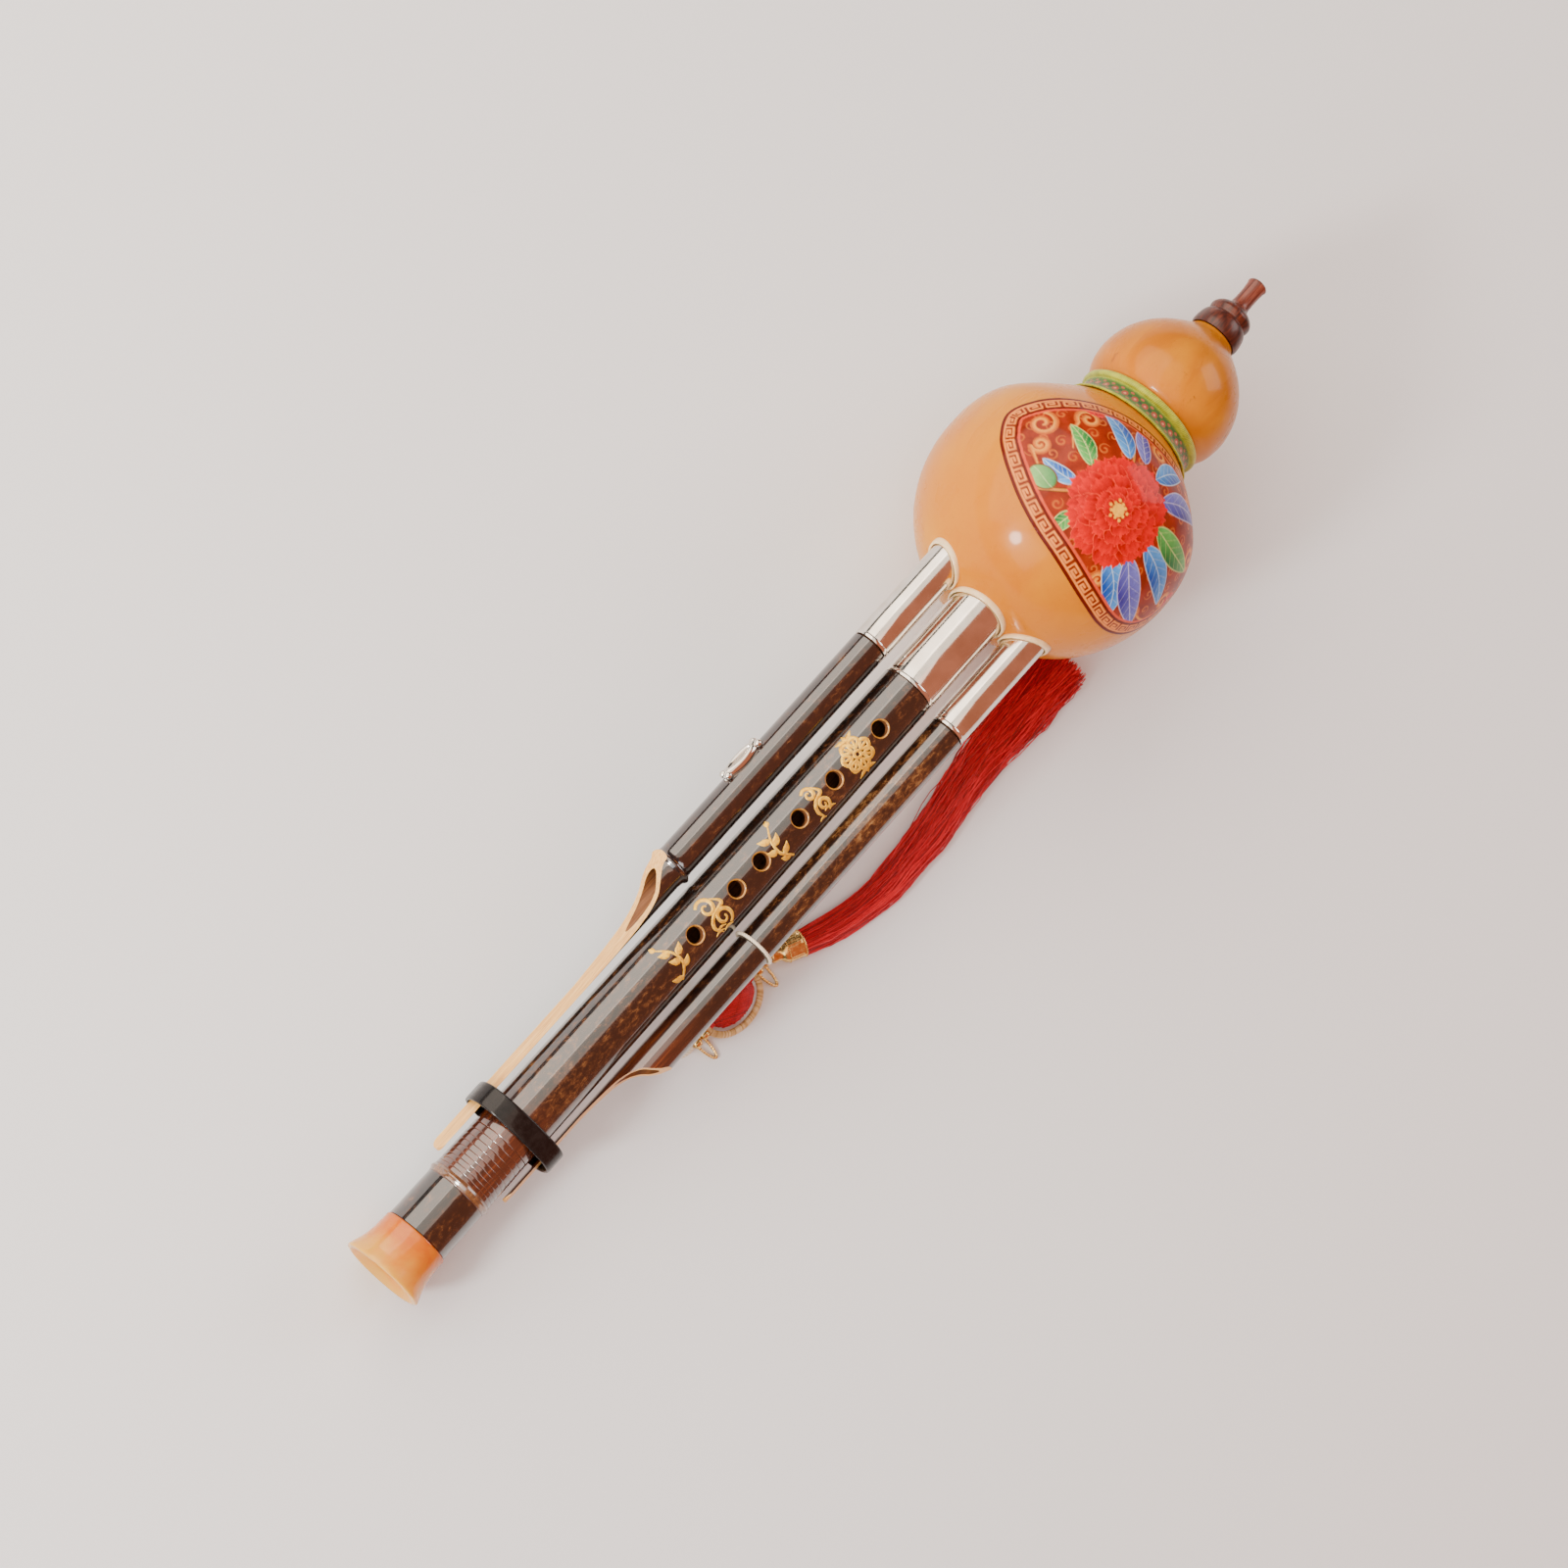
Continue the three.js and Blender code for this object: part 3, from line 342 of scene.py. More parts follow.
def turned(name, outline, sides, place, materials, slots=None, closed=False, ripple=None):
    # turns an outline of (along, radius) round the X axis, and leaves u round it and v along it
    outline = np.asarray(outline, float)
    n = len(outline)
    angles = roundTurn(sides)
    points, rings = [], []
    for i, (along, radius) in enumerate(outline):
        if not closed and radius < 1e-6:
            rings.append([len(points)])
            points.append((along, 0, 0))
            continue
        rings.append(range(len(points), len(points) + sides))
        points.extend(circleAt(along, radius if ripple is None else radius + ripple(along, angles), sides))
    faces, faceSlots, uvs = [], [], []
    far = wayAlong(outline)
    far = np.append(far, far[-1])
    spans = n if closed else n - 1
    for i in range(spans):
        low, high = rings[i], rings[(i + 1) % n]
        v0, v1 = far[i], far[i + 1]
        for k in range(sides):
            m = (k + 1) % sides
            u0, u1 = k / sides, (k + 1) / sides
            if len(low) == 1:
                faces.append((low[0], high[k], high[m]))
                uvs.extend([(u0, v0), (u0, v1), (u1, v1)])
            elif len(high) == 1:
                faces.append((low[k], high[0], low[m]))
                uvs.extend([(u0, v0), (u0, v1), (u1, v0)])
            else:
                faces.append((low[k], high[k], high[m], low[m]))
                uvs.extend([(u0, v0), (u0, v1), (u1, v1), (u1, v0)])
            faceSlots.append(0 if slots is None else slots(i, outline))
    mesh = bpy.data.meshes.new(name)
    mesh.from_pydata([tuple(q) for q in place(points)], [], faces)
    layer = mesh.uv_layers.new(name="around")
    layer.data.foreach_set("uv", np.asarray(uvs, np.float32).ravel())
    for material in materials:
        mesh.materials.append(material)
    mesh.polygons.foreach_set("material_index", np.asarray(faceSlots, np.int32))
    mesh.update()
    piece = addObject(name, mesh)
    faceOutward(piece)
    mesh.shade_smooth()
    return piece


def tubeFaces(n, m, closed=False, start=0):
    # faces between n rings of m points, with a cap at each end of an open tube
    faces = []
    for i in range(n if closed else n - 1):
        j = (i + 1) % n
        for k in range(m):
            l = (k + 1) % m
            faces.append((start + i * m + k, start + j * m + k, start + j * m + l, start + i * m + l))
    if not closed:
        faces.append(tuple(start + k for k in range(m)))
        faces.append(tuple(start + (n - 1) * m + k for k in reversed(range(m))))
    return faces


def sweep(name, sections, materials, closed=False):
    # sections holds a ring of points for each step of the path
    rings = np.asarray(sections, float)
    return newPiece(name, rings.reshape(-1, 3), tubeFaces(*rings.shape[:2], closed), materials)


def tubeSections(path, radius, sides, closed=False):
    p = np.asarray(path, float)
    n = len(p)
    radii = np.broadcast_to(radius, (n,))
    tangent = np.roll(p, -1, 0) - np.roll(p, 1, 0) if closed else np.gradient(p, axis=0)
    tangent /= np.linalg.norm(tangent, axis=1)[:, None]
    normal = np.cross(tangent[0], (0, 0, 1))
    if np.linalg.norm(normal) < 0.1:
        normal = np.cross(tangent[0], (0, 1, 0))
    normal /= np.linalg.norm(normal)
    angles = roundTurn(sides)
    rings = []
    for i in range(n):
        normal = normal - tangent[i] * np.dot(normal, tangent[i])
        normal /= np.linalg.norm(normal)
        side = np.cross(tangent[i], normal)
        rings.append(p[i] + radii[i] * (np.cos(angles)[:, None] * normal + np.sin(angles)[:, None] * side))
    return np.array(rings)


def applied(piece):
    # turns the piece with its modifiers into a plain mesh
    graph = bpy.context.evaluated_depsgraph_get()
    graph.update()
    mesh = bpy.data.meshes.new_from_object(piece.evaluated_get(graph))
    piece.modifiers.clear()
    old = piece.data
    piece.data = mesh
    mesh.name = piece.name
    if old.users == 0:
        bpy.data.meshes.remove(old)


def cut(piece, cutter):
    modifier = piece.modifiers.new("cut", "BOOLEAN")
    modifier.operation = "DIFFERENCE"
    modifier.object = cutter
    modifier.solver = "EXACT"
    modifier.material_mode = "TRANSFER"
    applied(piece)
    bpy.data.objects.remove(cutter)


def crisp(piece, degrees):
    piece.data.shade_smooth()
    piece.data.set_sharp_from_angle(angle=math.radians(degrees))


def joined(name, pieces):
    bm = bmesh.new()
    materials = []
    for piece in pieces:
        lookup = []
        for material in piece.data.materials:
            if material not in materials:
                materials.append(material)
            lookup.append(materials.index(material))
        start = len(bm.faces)
        bm.from_mesh(piece.data)
        bm.faces.ensure_lookup_table()
        for face in bm.faces[start:]:
            face.material_index = lookup[face.material_index] if lookup else 0
    mesh = bpy.data.meshes.new(name)
    bm.to_mesh(mesh)
    bm.free()
    for material in materials:
        mesh.materials.append(material)
    for piece in pieces:
        bpy.data.objects.remove(piece)
    return addObject(name, mesh)


def settle(piece, body, slot, *nodes):
    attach(piece, body)
    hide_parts(*nodes)


def gourdLacquer():
    f = Finish("gourdLacquer")
    turn = rest["angle"] - rest["gourdLean"]
    centre = tuple(gourdToWorld((0, 0, 0)))
    skin = f.place(turn, (1, 1, 1), centre)
    streaks = f.place(turn, (0.35, 1, 1), centre)
    broad = f.noise(skin, 16, 3, 0.5)
    mottle = f.noise(streaks, 95, 5, 0.6, 0.4)
    fine = f.noise(skin, 620, 4, 0.6)
    base = f.ramp(f.add(f.times(broad, 0.7), f.times(mottle, 0.3)), [
        (0.30, (199, 110, 0)), (0.5, (209, 127, 0)), (0.68, (218, 144, 0)),
    ])
    # the small bulb is browner than the big one, and has more blotches
    along = f.along(skin)
    upper = f.span(along, 0.040, 0.060)
    tan = f.ramp(mottle, [(0.32, (178, 100, 0)), (0.55, (194, 118, 0)), (0.75, (206, 136, 8))])
    base = f.blend(f.times(upper, 0.85), base, tan)
    blotch = f.span(f.noise(skin, 170, 6, 0.7, 0.6), 0.62, 0.72)
    where = f.span(along, 0.030, 0.052, 0.10, 0.75)
    base = f.blend(f.times(blotch, where), base, (138, 68, 22))
    speck = f.span(f.noise(skin, 1500, 2, 0.5), 0.70, 0.76)
    base = f.blend(f.times(speck, 0.35), base, (122, 58, 18))
    wave = f.add(f.noise(skin, 42, 2, 0.5), f.times(fine, 0.02))
    f.set(color=base, rough=f.span(mottle, 0.3, 0.7, 0.25, 0.33), specular=0.12, coat=0.2, coatRough=0.085,
          normal=f.bump(wave, 0.25, 0.0016), subsurface=0.06, subsurfaceScale=0.004,
          subsurfaceRadius=(1.0, 0.5, 0.2))
    return f.material


# Each pipe's skin, its places in metres along the pipe from the bell's mouth: where the pale mottles begin
# and where they end, where the ruddy foot begins and ends, and the pale band at the node.
mottledSkins = {
    "mainBamboo": {"pipe": "main", "dark": (15, 7, 4), "mottles": 0.6, "paleFrom": (0.045, 0.07),
                   "paleTo": (0.12, 0.165), "redFrom": 0.033, "redTo": (0.055, 0.075),
                   "band": (0.0333, 0.0361)},
    "leftBamboo": {"pipe": "left", "dark": (22, 9, 6), "mottles": 0.15, "paleFrom": (0.30, 0.34)},
    "rightBamboo": {"pipe": "right", "dark": (17, 8, 5), "mottles": 0.95, "paleFrom": (0.145, 0.175),
                    "paleTo": (0.225, 0.26), "redFrom": -1.0, "redTo": (0.10, 0.13)},
}


def mottledBamboo(name):
    own = mottledSkins[name]
    f = Finish(name)
    turn, centre = rest["angle"], tuple(toWorld((0, pipeSides[own["pipe"]], 0)))
    grainPlace = f.place(turn, (0.05, 1, 1), centre)
    skin = f.place(turn, (0.55, 1, 1), centre)
    along = f.along(f.place(turn, (1, 1, 1), centre))
    patches = f.noise(skin, 75, 3, 0.55, 0.3)
    cells = f.noise(skin, 760, 6, 0.72, 0.6)
    spots = f.node("ShaderNodeTexVoronoi", {"Vector": skin, "Scale": 560}).outputs["Distance"]
    pale = f.span(along, *own["paleFrom"])
    if "paleTo" in own:
        pale = f.times(pale, f.span(along, *own["paleTo"], 1, 0))
    lift = f.add(f.times(f.span(patches, 0.44, 0.70), 0.11 * own["mottles"]),
                 f.times(pale, 0.10 * own["mottles"]))
    color = f.ramp(f.add(f.add(cells, f.times(spots, 0.22)), lift), [
        (0.56, own["dark"]), (0.67, tuple(int(v * 1.7) for v in own["dark"])), (0.75, (70, 40, 20)),
        (0.84, (104, 67, 36)), (0.97, (150, 110, 66)),
    ])
    if "redTo" in own:
        start = own["redFrom"]
        red = f.times(f.span(along, *own["redTo"], 1, 0), f.span(along, start, start + 0.003))
        ruddy = f.ramp(f.noise(grainPlace, 900, 4, 0.6), [
            (0.3, (42, 17, 10)), (0.5, (84, 37, 20)), (0.7, (132, 66, 34)),
        ])
        color = f.blend(f.times(red, 0.8), color, ruddy)
    if "band" in own:
        low, high = own["band"]
        band = f.times(f.span(along, low, low + 0.0003), f.span(along, high, high + 0.0003, 1, 0))
        light = f.ramp(cells, [(0.35, (98, 58, 32)), (0.65, (158, 110, 66))])
        color = f.blend(f.times(band, 0.7), color, light)
    fibre = f.noise(grainPlace, 2600, 3, 0.6)
    shadow = f.ramp(fibre, [(0.3, (60, 60, 60)), (0.7, (255, 255, 255))])
    color = f.blend(0.35, color, shadow, "MULTIPLY")
    height = f.add(f.times(fibre, 0.4), f.times(cells, 0.5))
    f.set(color=color, rough=0.24, ior=1.45, coat=0.9, coatRough=0.05, coatIor=1.9,
          normal=f.bump(height, 0.12, 0.0004))
    return f.material


# bare bamboo: the tones of its dark, middle and light fibres, and its roughness
bareBamboos = {
    "cutBamboo": (((212, 142, 66), (248, 192, 106), (255, 220, 160)), 0.55),
    "boreBamboo": (((74, 40, 16), (120, 70, 28), (150, 96, 48)), 0.75),
    "reedBamboo": (((196, 150, 96), (232, 196, 140), (255, 220, 160)), 0.6),
}


def bareBamboo(name):
    tones, rough = bareBamboos[name]
    f = Finish(name)
    fibre = f.noise(f.place(rest["angle"], (0.04, 1, 1)), 2200, 4, 0.6)
    dots = f.noise(f.place(rest["angle"], (0.3, 1, 1)), 1900, 3, 0.6)
    color = f.ramp(fibre, list(zip((0.3, 0.55, 0.8), tones)))
    color = f.blend(f.times(f.span(dots, 0.6, 0.72), 0.35), color, (150, 98, 52))
    f.set(color=color, rough=rough, coat=0.2, coatRough=0.2, normal=f.bump(fibre, 0.3, 0.0003))
    return f.material


# Finishes whose colour, gloss and relief follow one grain. "noise" holds its scale, detail and roughness,
# "stretch" draws it out along the pipe, and "gloss" is the roughness at its lows and at its highs.
grainedFinishes = {
    "creamResin": {"noise": (300, 4, 0.6), "tones": [(0.3, (238, 200, 142)), (0.7, (252, 226, 180))],
                   "set": {"rough": 0.28, "coat": 0.4, "coatRough": 0.1, "subsurface": 0.15,
                           "subsurfaceScale": 0.002}},
    "blackGloss": {"noise": (500, 4, 0.6), "tones": [(0.3, (9, 7, 8)), (0.7, (24, 20, 20))],
                   "gloss": (0.22, 0.32), "bump": (0.05, 0.0003),
                   "set": {"specular": 0.2, "coat": 0.3, "coatRough": 0.06}},
    "goldPaint": {"noise": (900, 5, 0.65),
                  "tones": [(0.3, (206, 140, 24)), (0.5, (244, 188, 52)), (0.7, (255, 220, 96))],
                  "gloss": (0.3, 0.45), "bump": (0.2, 0.0002), "set": {"metal": 0.4}},
    "giltMetal": {"noise": (700, 4, 0.6), "tones": [(0.3, (216, 166, 86)), (0.7, (250, 220, 150))],
                  "gloss": (0.16, 0.3), "bump": (0.08, 0.0002), "set": {"metal": 1.0}},
    "rolledBrass": {"noise": (4200, 3, 0.6), "stretch": 0.05,
                    "tones": [(0.3, (176, 134, 62)), (0.7, (222, 184, 104))],
                    "gloss": (0.25, 0.4), "bump": (0.1, 0.0001), "set": {"metal": 1.0}},
    "rawGourd": {"noise": (300, 6, 0.7), "tones": [(0.3, (196, 160, 112)), (0.7, (232, 204, 158))],
                 "bump": (0.5, 0.0006), "set": {"rough": 0.85}},
    "turnedLine": {"noise": (1400, 4, 0.6), "stretch": 0.3,
                   "tones": [(0.3, (66, 31, 14)), (0.55, (92, 48, 24)), (0.75, (120, 70, 36))],
                   "bump": (0.2, 0.0002), "set": {"rough": 0.35, "coat": 0.5, "coatRough": 0.12}},
    "holeRim": {"noise": (1400, 4, 0.6), "stretch": 0.3,
                "tones": [(0.3, (140, 88, 26)), (0.55, (190, 132, 48)), (0.75, (220, 164, 72))],
                "bump": (0.2, 0.0002), "set": {"rough": 0.35, "coat": 0.5, "coatRough": 0.12}},
}


def grained(name):
    own = grainedFinishes[name]
    f = Finish(name)
    where = f.place(rest["angle"], (own["stretch"], 1, 1)) if "stretch" in own else f.place()
    grain = f.noise(where, *own["noise"])
    f.set(color=f.ramp(grain, own["tones"]), **own["set"])
    if "gloss" in own:
        f.set(rough=f.span(grain, 0.3, 0.7, *own["gloss"]))
    if "bump" in own:
        f.set(normal=f.bump(grain, *own["bump"]))
    return f.material


def nickelPlate():
    f = Finish("nickelPlate")
    rub = f.noise(f.place(rest["angle"], (6, 0.4, 0.4)), 260, 4, 0.6)
    cloud = f.noise(f.place(rest["angle"]), 120, 3, 0.5)
    color = f.ramp(cloud, [(0.3, (214, 206, 196)), (0.7, (236, 231, 224))])
    f.set(color=color, metal=1.0, rough=f.span(rub, 0.3, 0.7, 0.09, 0.17), normal=f.bump(rub, 0.03, 0.0002))
    return f.material


def amberResin():
    f = Finish("amberResin")
    flat = f.place(rest["angle"], (1, 1, 1), tuple(toWorld((0, 0, 0))))
    cloud = f.noise(flat, 130, 4, 0.6, 0.8)
    swirl = f.add(f.times(cloud, 0.6), f.span(f.along(flat), 0, 0.0155, 0.55, 0.0, False))
    color = f.ramp(swirl, [(0.25, (222, 100, 0)), (0.5, (238, 134, 10)), (0.8, (248, 178, 62))])
    f.set(color=color, rough=0.2, specular=0.35, coat=0.3, coatRough=0.06, through=0.24, ior=1.5,
          subsurface=0.5, subsurfaceScale=0.006, subsurfaceRadius=(1.0, 0.55, 0.25),
          normal=f.bump(cloud, 0.08, 0.0006))
    return f.material


def turnedRosewood():
    # the beads at the foot are darker than the stem
    f = Finish("turnedRosewood")
    turn = rest["angle"] - rest["gourdLean"]
    centre = tuple(gourdToWorld((83, 0, 0)))
    along = f.along(f.place(turn, (1, 1, 1), centre))
    grain = f.noise(f.place(turn, (0.09, 1, 1), centre), 700, 5, 0.62, 0.7)
    pores = f.noise(f.place(turn, (0.06, 1, 1), centre), 2600, 3, 0.6)
    dark = f.ramp(grain, [(0.3, (38, 14, 9)), (0.5, (74, 29, 18)), (0.72, (118, 54, 34))])
    light = f.ramp(grain, [(0.3, (72, 28, 20)), (0.5, (112, 52, 38)), (0.72, (148, 80, 60))])
    color = f.blend(f.span(along, 0.0120, 0.0150), dark, light)
    color = f.blend(f.times(f.span(pores, 0.58, 0.68), 0.45), color, (24, 9, 6))
    f.set(color=color, rough=0.38, specular=0.35, coat=0.25, coatRough=0.16,
          normal=f.bump(pores, 0.1, 0.0002))
    return f.material


def corkBark():
    f = Finish("corkBark")
    grains = f.node("ShaderNodeTexVoronoi", {"Vector": f.place(), "Scale": 900}).outputs["Distance"]
    cloud = f.noise(f.place(), 700, 5, 0.7)
    color = f.ramp(f.add(f.times(grains, 0.5), f.times(cloud, 0.6)), [
        (0.25, (110, 70, 38)), (0.5, (184, 136, 88)), (0.75, (214, 170, 118)),
    ])
    f.set(color=color, rough=0.9, normal=f.bump(cloud, 0.6, 0.0004))
    return f.material


# threads: their dark, middle and bright tones, the roughness and the sheen
threads = {
    "redSilk": (((112, 0, 12), (196, 6, 32), (238, 30, 48)), 0.42, 0.4),
    # darker silk, used only as painted shade under the knot's threads
    "paintedShadeSilk": (((70, 2, 8), (140, 8, 16), (196, 24, 28)), 0.42, 0.4),
    "creamThread": (((196, 176, 148), (234, 218, 192), (255, 246, 228)), 0.5, 0.3),
    "goldThread": (((170, 120, 60), (226, 184, 120), (252, 226, 178)), 0.35, 0.3),
}


def silkThread(name):
    tones, rough, sheen = threads[name]
    f = Finish(name)
    shade = f.attribute("threadShade").outputs["Fac"]
    cloud = f.noise(f.place(), 900, 3, 0.6)
    # the attribute darkens the silk: each thread's own tone, and painted shade in rope grooves and on cores
    # under windings
    mix = f.add(f.times(shade, 0.75), f.times(cloud, 0.3))
    color = f.ramp(mix, list(zip((0.12, 0.5, 0.88), tones)))
    f.set(color=color, rough=rough, sheen=sheen, sheenRough=0.35, sheenTint=linear(*tones[-1]), specular=0.6)
    return f.material


def paintedMedallion():
    f = Finish("paintedMedallion")
    paint = f.attribute("paint").outputs["Color"]
    relief = f.attribute("relief").outputs["Fac"]
    brush = f.noise(f.place(), 520, 5, 0.65, 0.5)
    toned = f.ramp(brush, [(0.25, (196, 188, 180)), (0.6, (255, 255, 255))])
    color = f.blend(0.55, paint, toned, "MULTIPLY")
    height = f.add(relief, f.times(brush, 0.12))
    f.set(color=color, rough=0.4, specular=0.08, coat=0.22, coatRough=0.08,
          normal=f.bump(height, 0.5, 0.00025))
    return f.material


ribbon = {
    "flowers": 34, "middle": 0.52, "warp": 340, "weft": 15,
    "ground": [(0.0, (176, 186, 40)), (0.10, (130, 160, 40)), (0.16, (52, 104, 26)), (0.5, (76, 130, 36)),
               (0.84, (50, 100, 28)), (0.92, (104, 144, 30)), (1.0, (170, 188, 36))],
    "petals": (184, 58, 44), "heart": (232, 160, 120), "leaf": (30, 66, 34), "bud": (196, 96, 62),
    "cordTurns": 210, "cordLean": 1.7,
    "cordTones": [(0.3, (138, 150, 6)), (0.5, (174, 188, 16)), (0.7, (202, 210, 44))],
}


def ribbonPlace(f):
    # v runs from 0 to 1 across the ribbon between its rolled edges, u once round the waist
    around = f.node("ShaderNodeSeparateXYZ", {0: f.node("ShaderNodeUVMap", uv_map="around").outputs[0]})
    return around.outputs[0], around.outputs[1]


def printedRibbon():
    f = Finish("printedRibbon")
    u, v = ribbonPlace(f)
    repeat = f.times(u, ribbon["flowers"])
    cell = f.minus(f.math("FRACT", repeat), 0.5)
    half = f.minus(f.math("FRACT", f.add(repeat, 0.5)), 0.5)
    across = f.minus(v, ribbon["middle"])

    def spot(where, stretch, away, tall):
        wide, high = (f.math("POWER", f.times(a, b), 2.0) for a, b in ((where, stretch), (away, tall)))
        return f.math("SQRT", f.add(wide, high))

    cloud = f.noise(f.place(), 900, 3, 0.6)
    color = f.ramp(f.add(v, f.times(f.minus(cloud, 0.5), 0.16)), ribbon["ground"])
    bloom, leaf = spot(cell, 3.0, across, 4.6), spot(half, 4.4, across, 7.0)
    bud = spot(half, 4.6, f.minus(f.math("ABSOLUTE", across), 0.27), 13.0)
    color = f.blend(f.span(bloom, 0.95, 0.8), color, ribbon["petals"])
    color = f.blend(f.span(bloom, 0.42, 0.3), color, ribbon["heart"])
    color = f.blend(f.span(leaf, 0.95, 0.75), color, ribbon["leaf"])
    color = f.blend(f.span(bud, 0.95, 0.75), color, ribbon["bud"])
    warp = f.math("SINE", f.times(u, 2 * math.pi * ribbon["warp"]))
    weave = f.times(warp, f.math("SINE", f.times(v, 2 * math.pi * ribbon["weft"])))
    shadow = f.ramp(weave, [(0.0, (120, 120, 120)), (1.0, (255, 255, 255))])
    color = f.blend(0.22, color, shadow, "MULTIPLY")
    f.set(color=color, rough=0.5, sheen=0.35, sheenRough=0.4, normal=f.bump(weave, 0.5, 0.00012))
    return f.material


def rolledEdge():
    # cord covered with silk, its turns leaning across the edge
    f = Finish("ribbonEdge")
    u, v = ribbonPlace(f)
    lean = f.add(f.times(u, ribbon["cordTurns"]), f.times(v, ribbon["cordLean"]))
    twist = f.math("SINE", f.times(lean, 2 * math.pi))
    # painted shade: the twist darkens the colour in the grooves between the turns
    color = f.ramp(f.add(f.times(twist, 0.12), f.noise(f.place(), 240, 4, 0.6)), ribbon["cordTones"])
    f.set(color=color, rough=0.45, sheen=0.3, sheenRough=0.4, normal=f.bump(twist, 0.35, 0.00012))
    return f.material


lacquer = gourdLacquer()
nickel = nickelPlate()
amber = amberResin()
rosewood = turnedRosewood()
cork = corkBark()
cream = grained("creamResin")
blackRing = grained("blackGloss")
gold = grained("goldPaint")
gilt = grained("giltMetal")
brass = grained("rolledBrass")
rawGourd = grained("rawGourd")
turnedLine = grained("turnedLine")
holeRim = grained("holeRim")
mainBamboo, leftBamboo, rightBamboo = (mottledBamboo(name) for name in mottledSkins)
cutBamboo, boreBamboo, reedBamboo = (bareBamboo(name) for name in bareBamboos)
redSilk, paintedShadeSilk, creamThread, goldThread = (silkThread(name) for name in threads)
medallionPaint = paintedMedallion()
ribbonPrint = printedRibbon()
ribbonEdge = rolledEdge()
print("materials ready")


class Recipe(NodeTree):
    def __init__(self, name, sizes):
        self.tree = bpy.data.node_groups.new(name, "GeometryNodeTree")
        face = self.tree.interface
        face.new_socket("Geometry", in_out="INPUT", socket_type="NodeSocketGeometry")
        self.identifiers = {}
        for key, value in sizes.items():
            kind = {int: "NodeSocketInt", float: "NodeSocketFloat"}.get(type(value), "NodeSocketMaterial")
            socket = face.new_socket(key, in_out="INPUT", socket_type=kind)
            if value is not None:
                socket.default_value = value
            self.identifiers[key] = socket.identifier
        face.new_socket("Geometry", in_out="OUTPUT", socket_type="NodeSocketGeometry")
        self.start = self.tree.nodes.new("NodeGroupInput")
        self.end = self.tree.nodes.new("NodeGroupOutput")
        self.source = self.start.outputs["Geometry"]

    def size(self, key):
        return self.start.outputs[key]

    def scaled(self, a, amount):
        return self.node("ShaderNodeVectorMath", {0: a, "Scale": amount}, operation="SCALE").outputs[0]

    def random(self, low, high, salt):
        seed = self.add(self.size("Seed"), salt)
        who = self.node("GeometryNodeInputID").outputs[0]
        made = self.node("FunctionNodeRandomValue", {"ID": who, "Seed": seed}, data_type="FLOAT")
        made.inputs[2].default_value, made.inputs[3].default_value = low, high
        return made.outputs[1]

    def stored(self, geometry, name, value):
        made = self.node("GeometryNodeStoreNamedAttribute", {"Geometry": geometry, "Name": name},
                         data_type="FLOAT", domain="INSTANCE")
        self.tree.links.new(value, next(s for s in made.inputs if s.name == "Value" and s.enabled))
        return made.outputs[0]

    def thread(self):
        sizes = {"Resolution": self.size("Sides"), "Radius": self.size("Thread Radius")}
        return self.node("GeometryNodeCurvePrimitiveCircle", sizes).outputs[0]

    def spotsAlong(self, count):
        # points along the path, and the turn that sets a piece upright on it at each
        guide = self.node("GeometryNodeMeshToCurve", {"Mesh": self.source}).outputs[0]
        spots = self.node("GeometryNodeCurveToPoints", {"Curve": guide, "Count": self.size(count)},
                          mode="COUNT")
        upright = self.node("FunctionNodeAlignEulerToVector", {"Vector": spots.outputs["Tangent"]}, axis="Z",
                            pivot_axis="AUTO")
        return spots.outputs["Points"], upright.outputs[0]

    def close(self, geometry):
        real = self.node("GeometryNodeRealizeInstances", {"Geometry": geometry}).outputs[0]
        smooth = self.node("GeometryNodeSetShadeSmooth", {"Geometry": real}).outputs[0]
        dressed = self.node("GeometryNodeSetMaterial", {"Geometry": smooth, "Material": self.size("Finish")})
        self.tree.links.new(dressed.outputs[0], self.end.inputs["Geometry"])

    def run(self, name, line, closed=False, **values):
        # line is the path in world metres that the recipe starts from
        edges = [(i, i + 1) for i in range(len(line) - 1)] + ([(len(line) - 1, 0)] if closed else [])
        mesh = bpy.data.meshes.new(name)
        mesh.from_pydata([tuple(p) for p in line], edges, [])
        piece = addObject(name, mesh)
        modifier = piece.modifiers.new("recipe", "NODES")
        modifier.node_group = self.tree
        for key, value in values.items():
            modifier[self.identifiers[key]] = value
        applied(piece)
        piece.data.name = name
        return piece


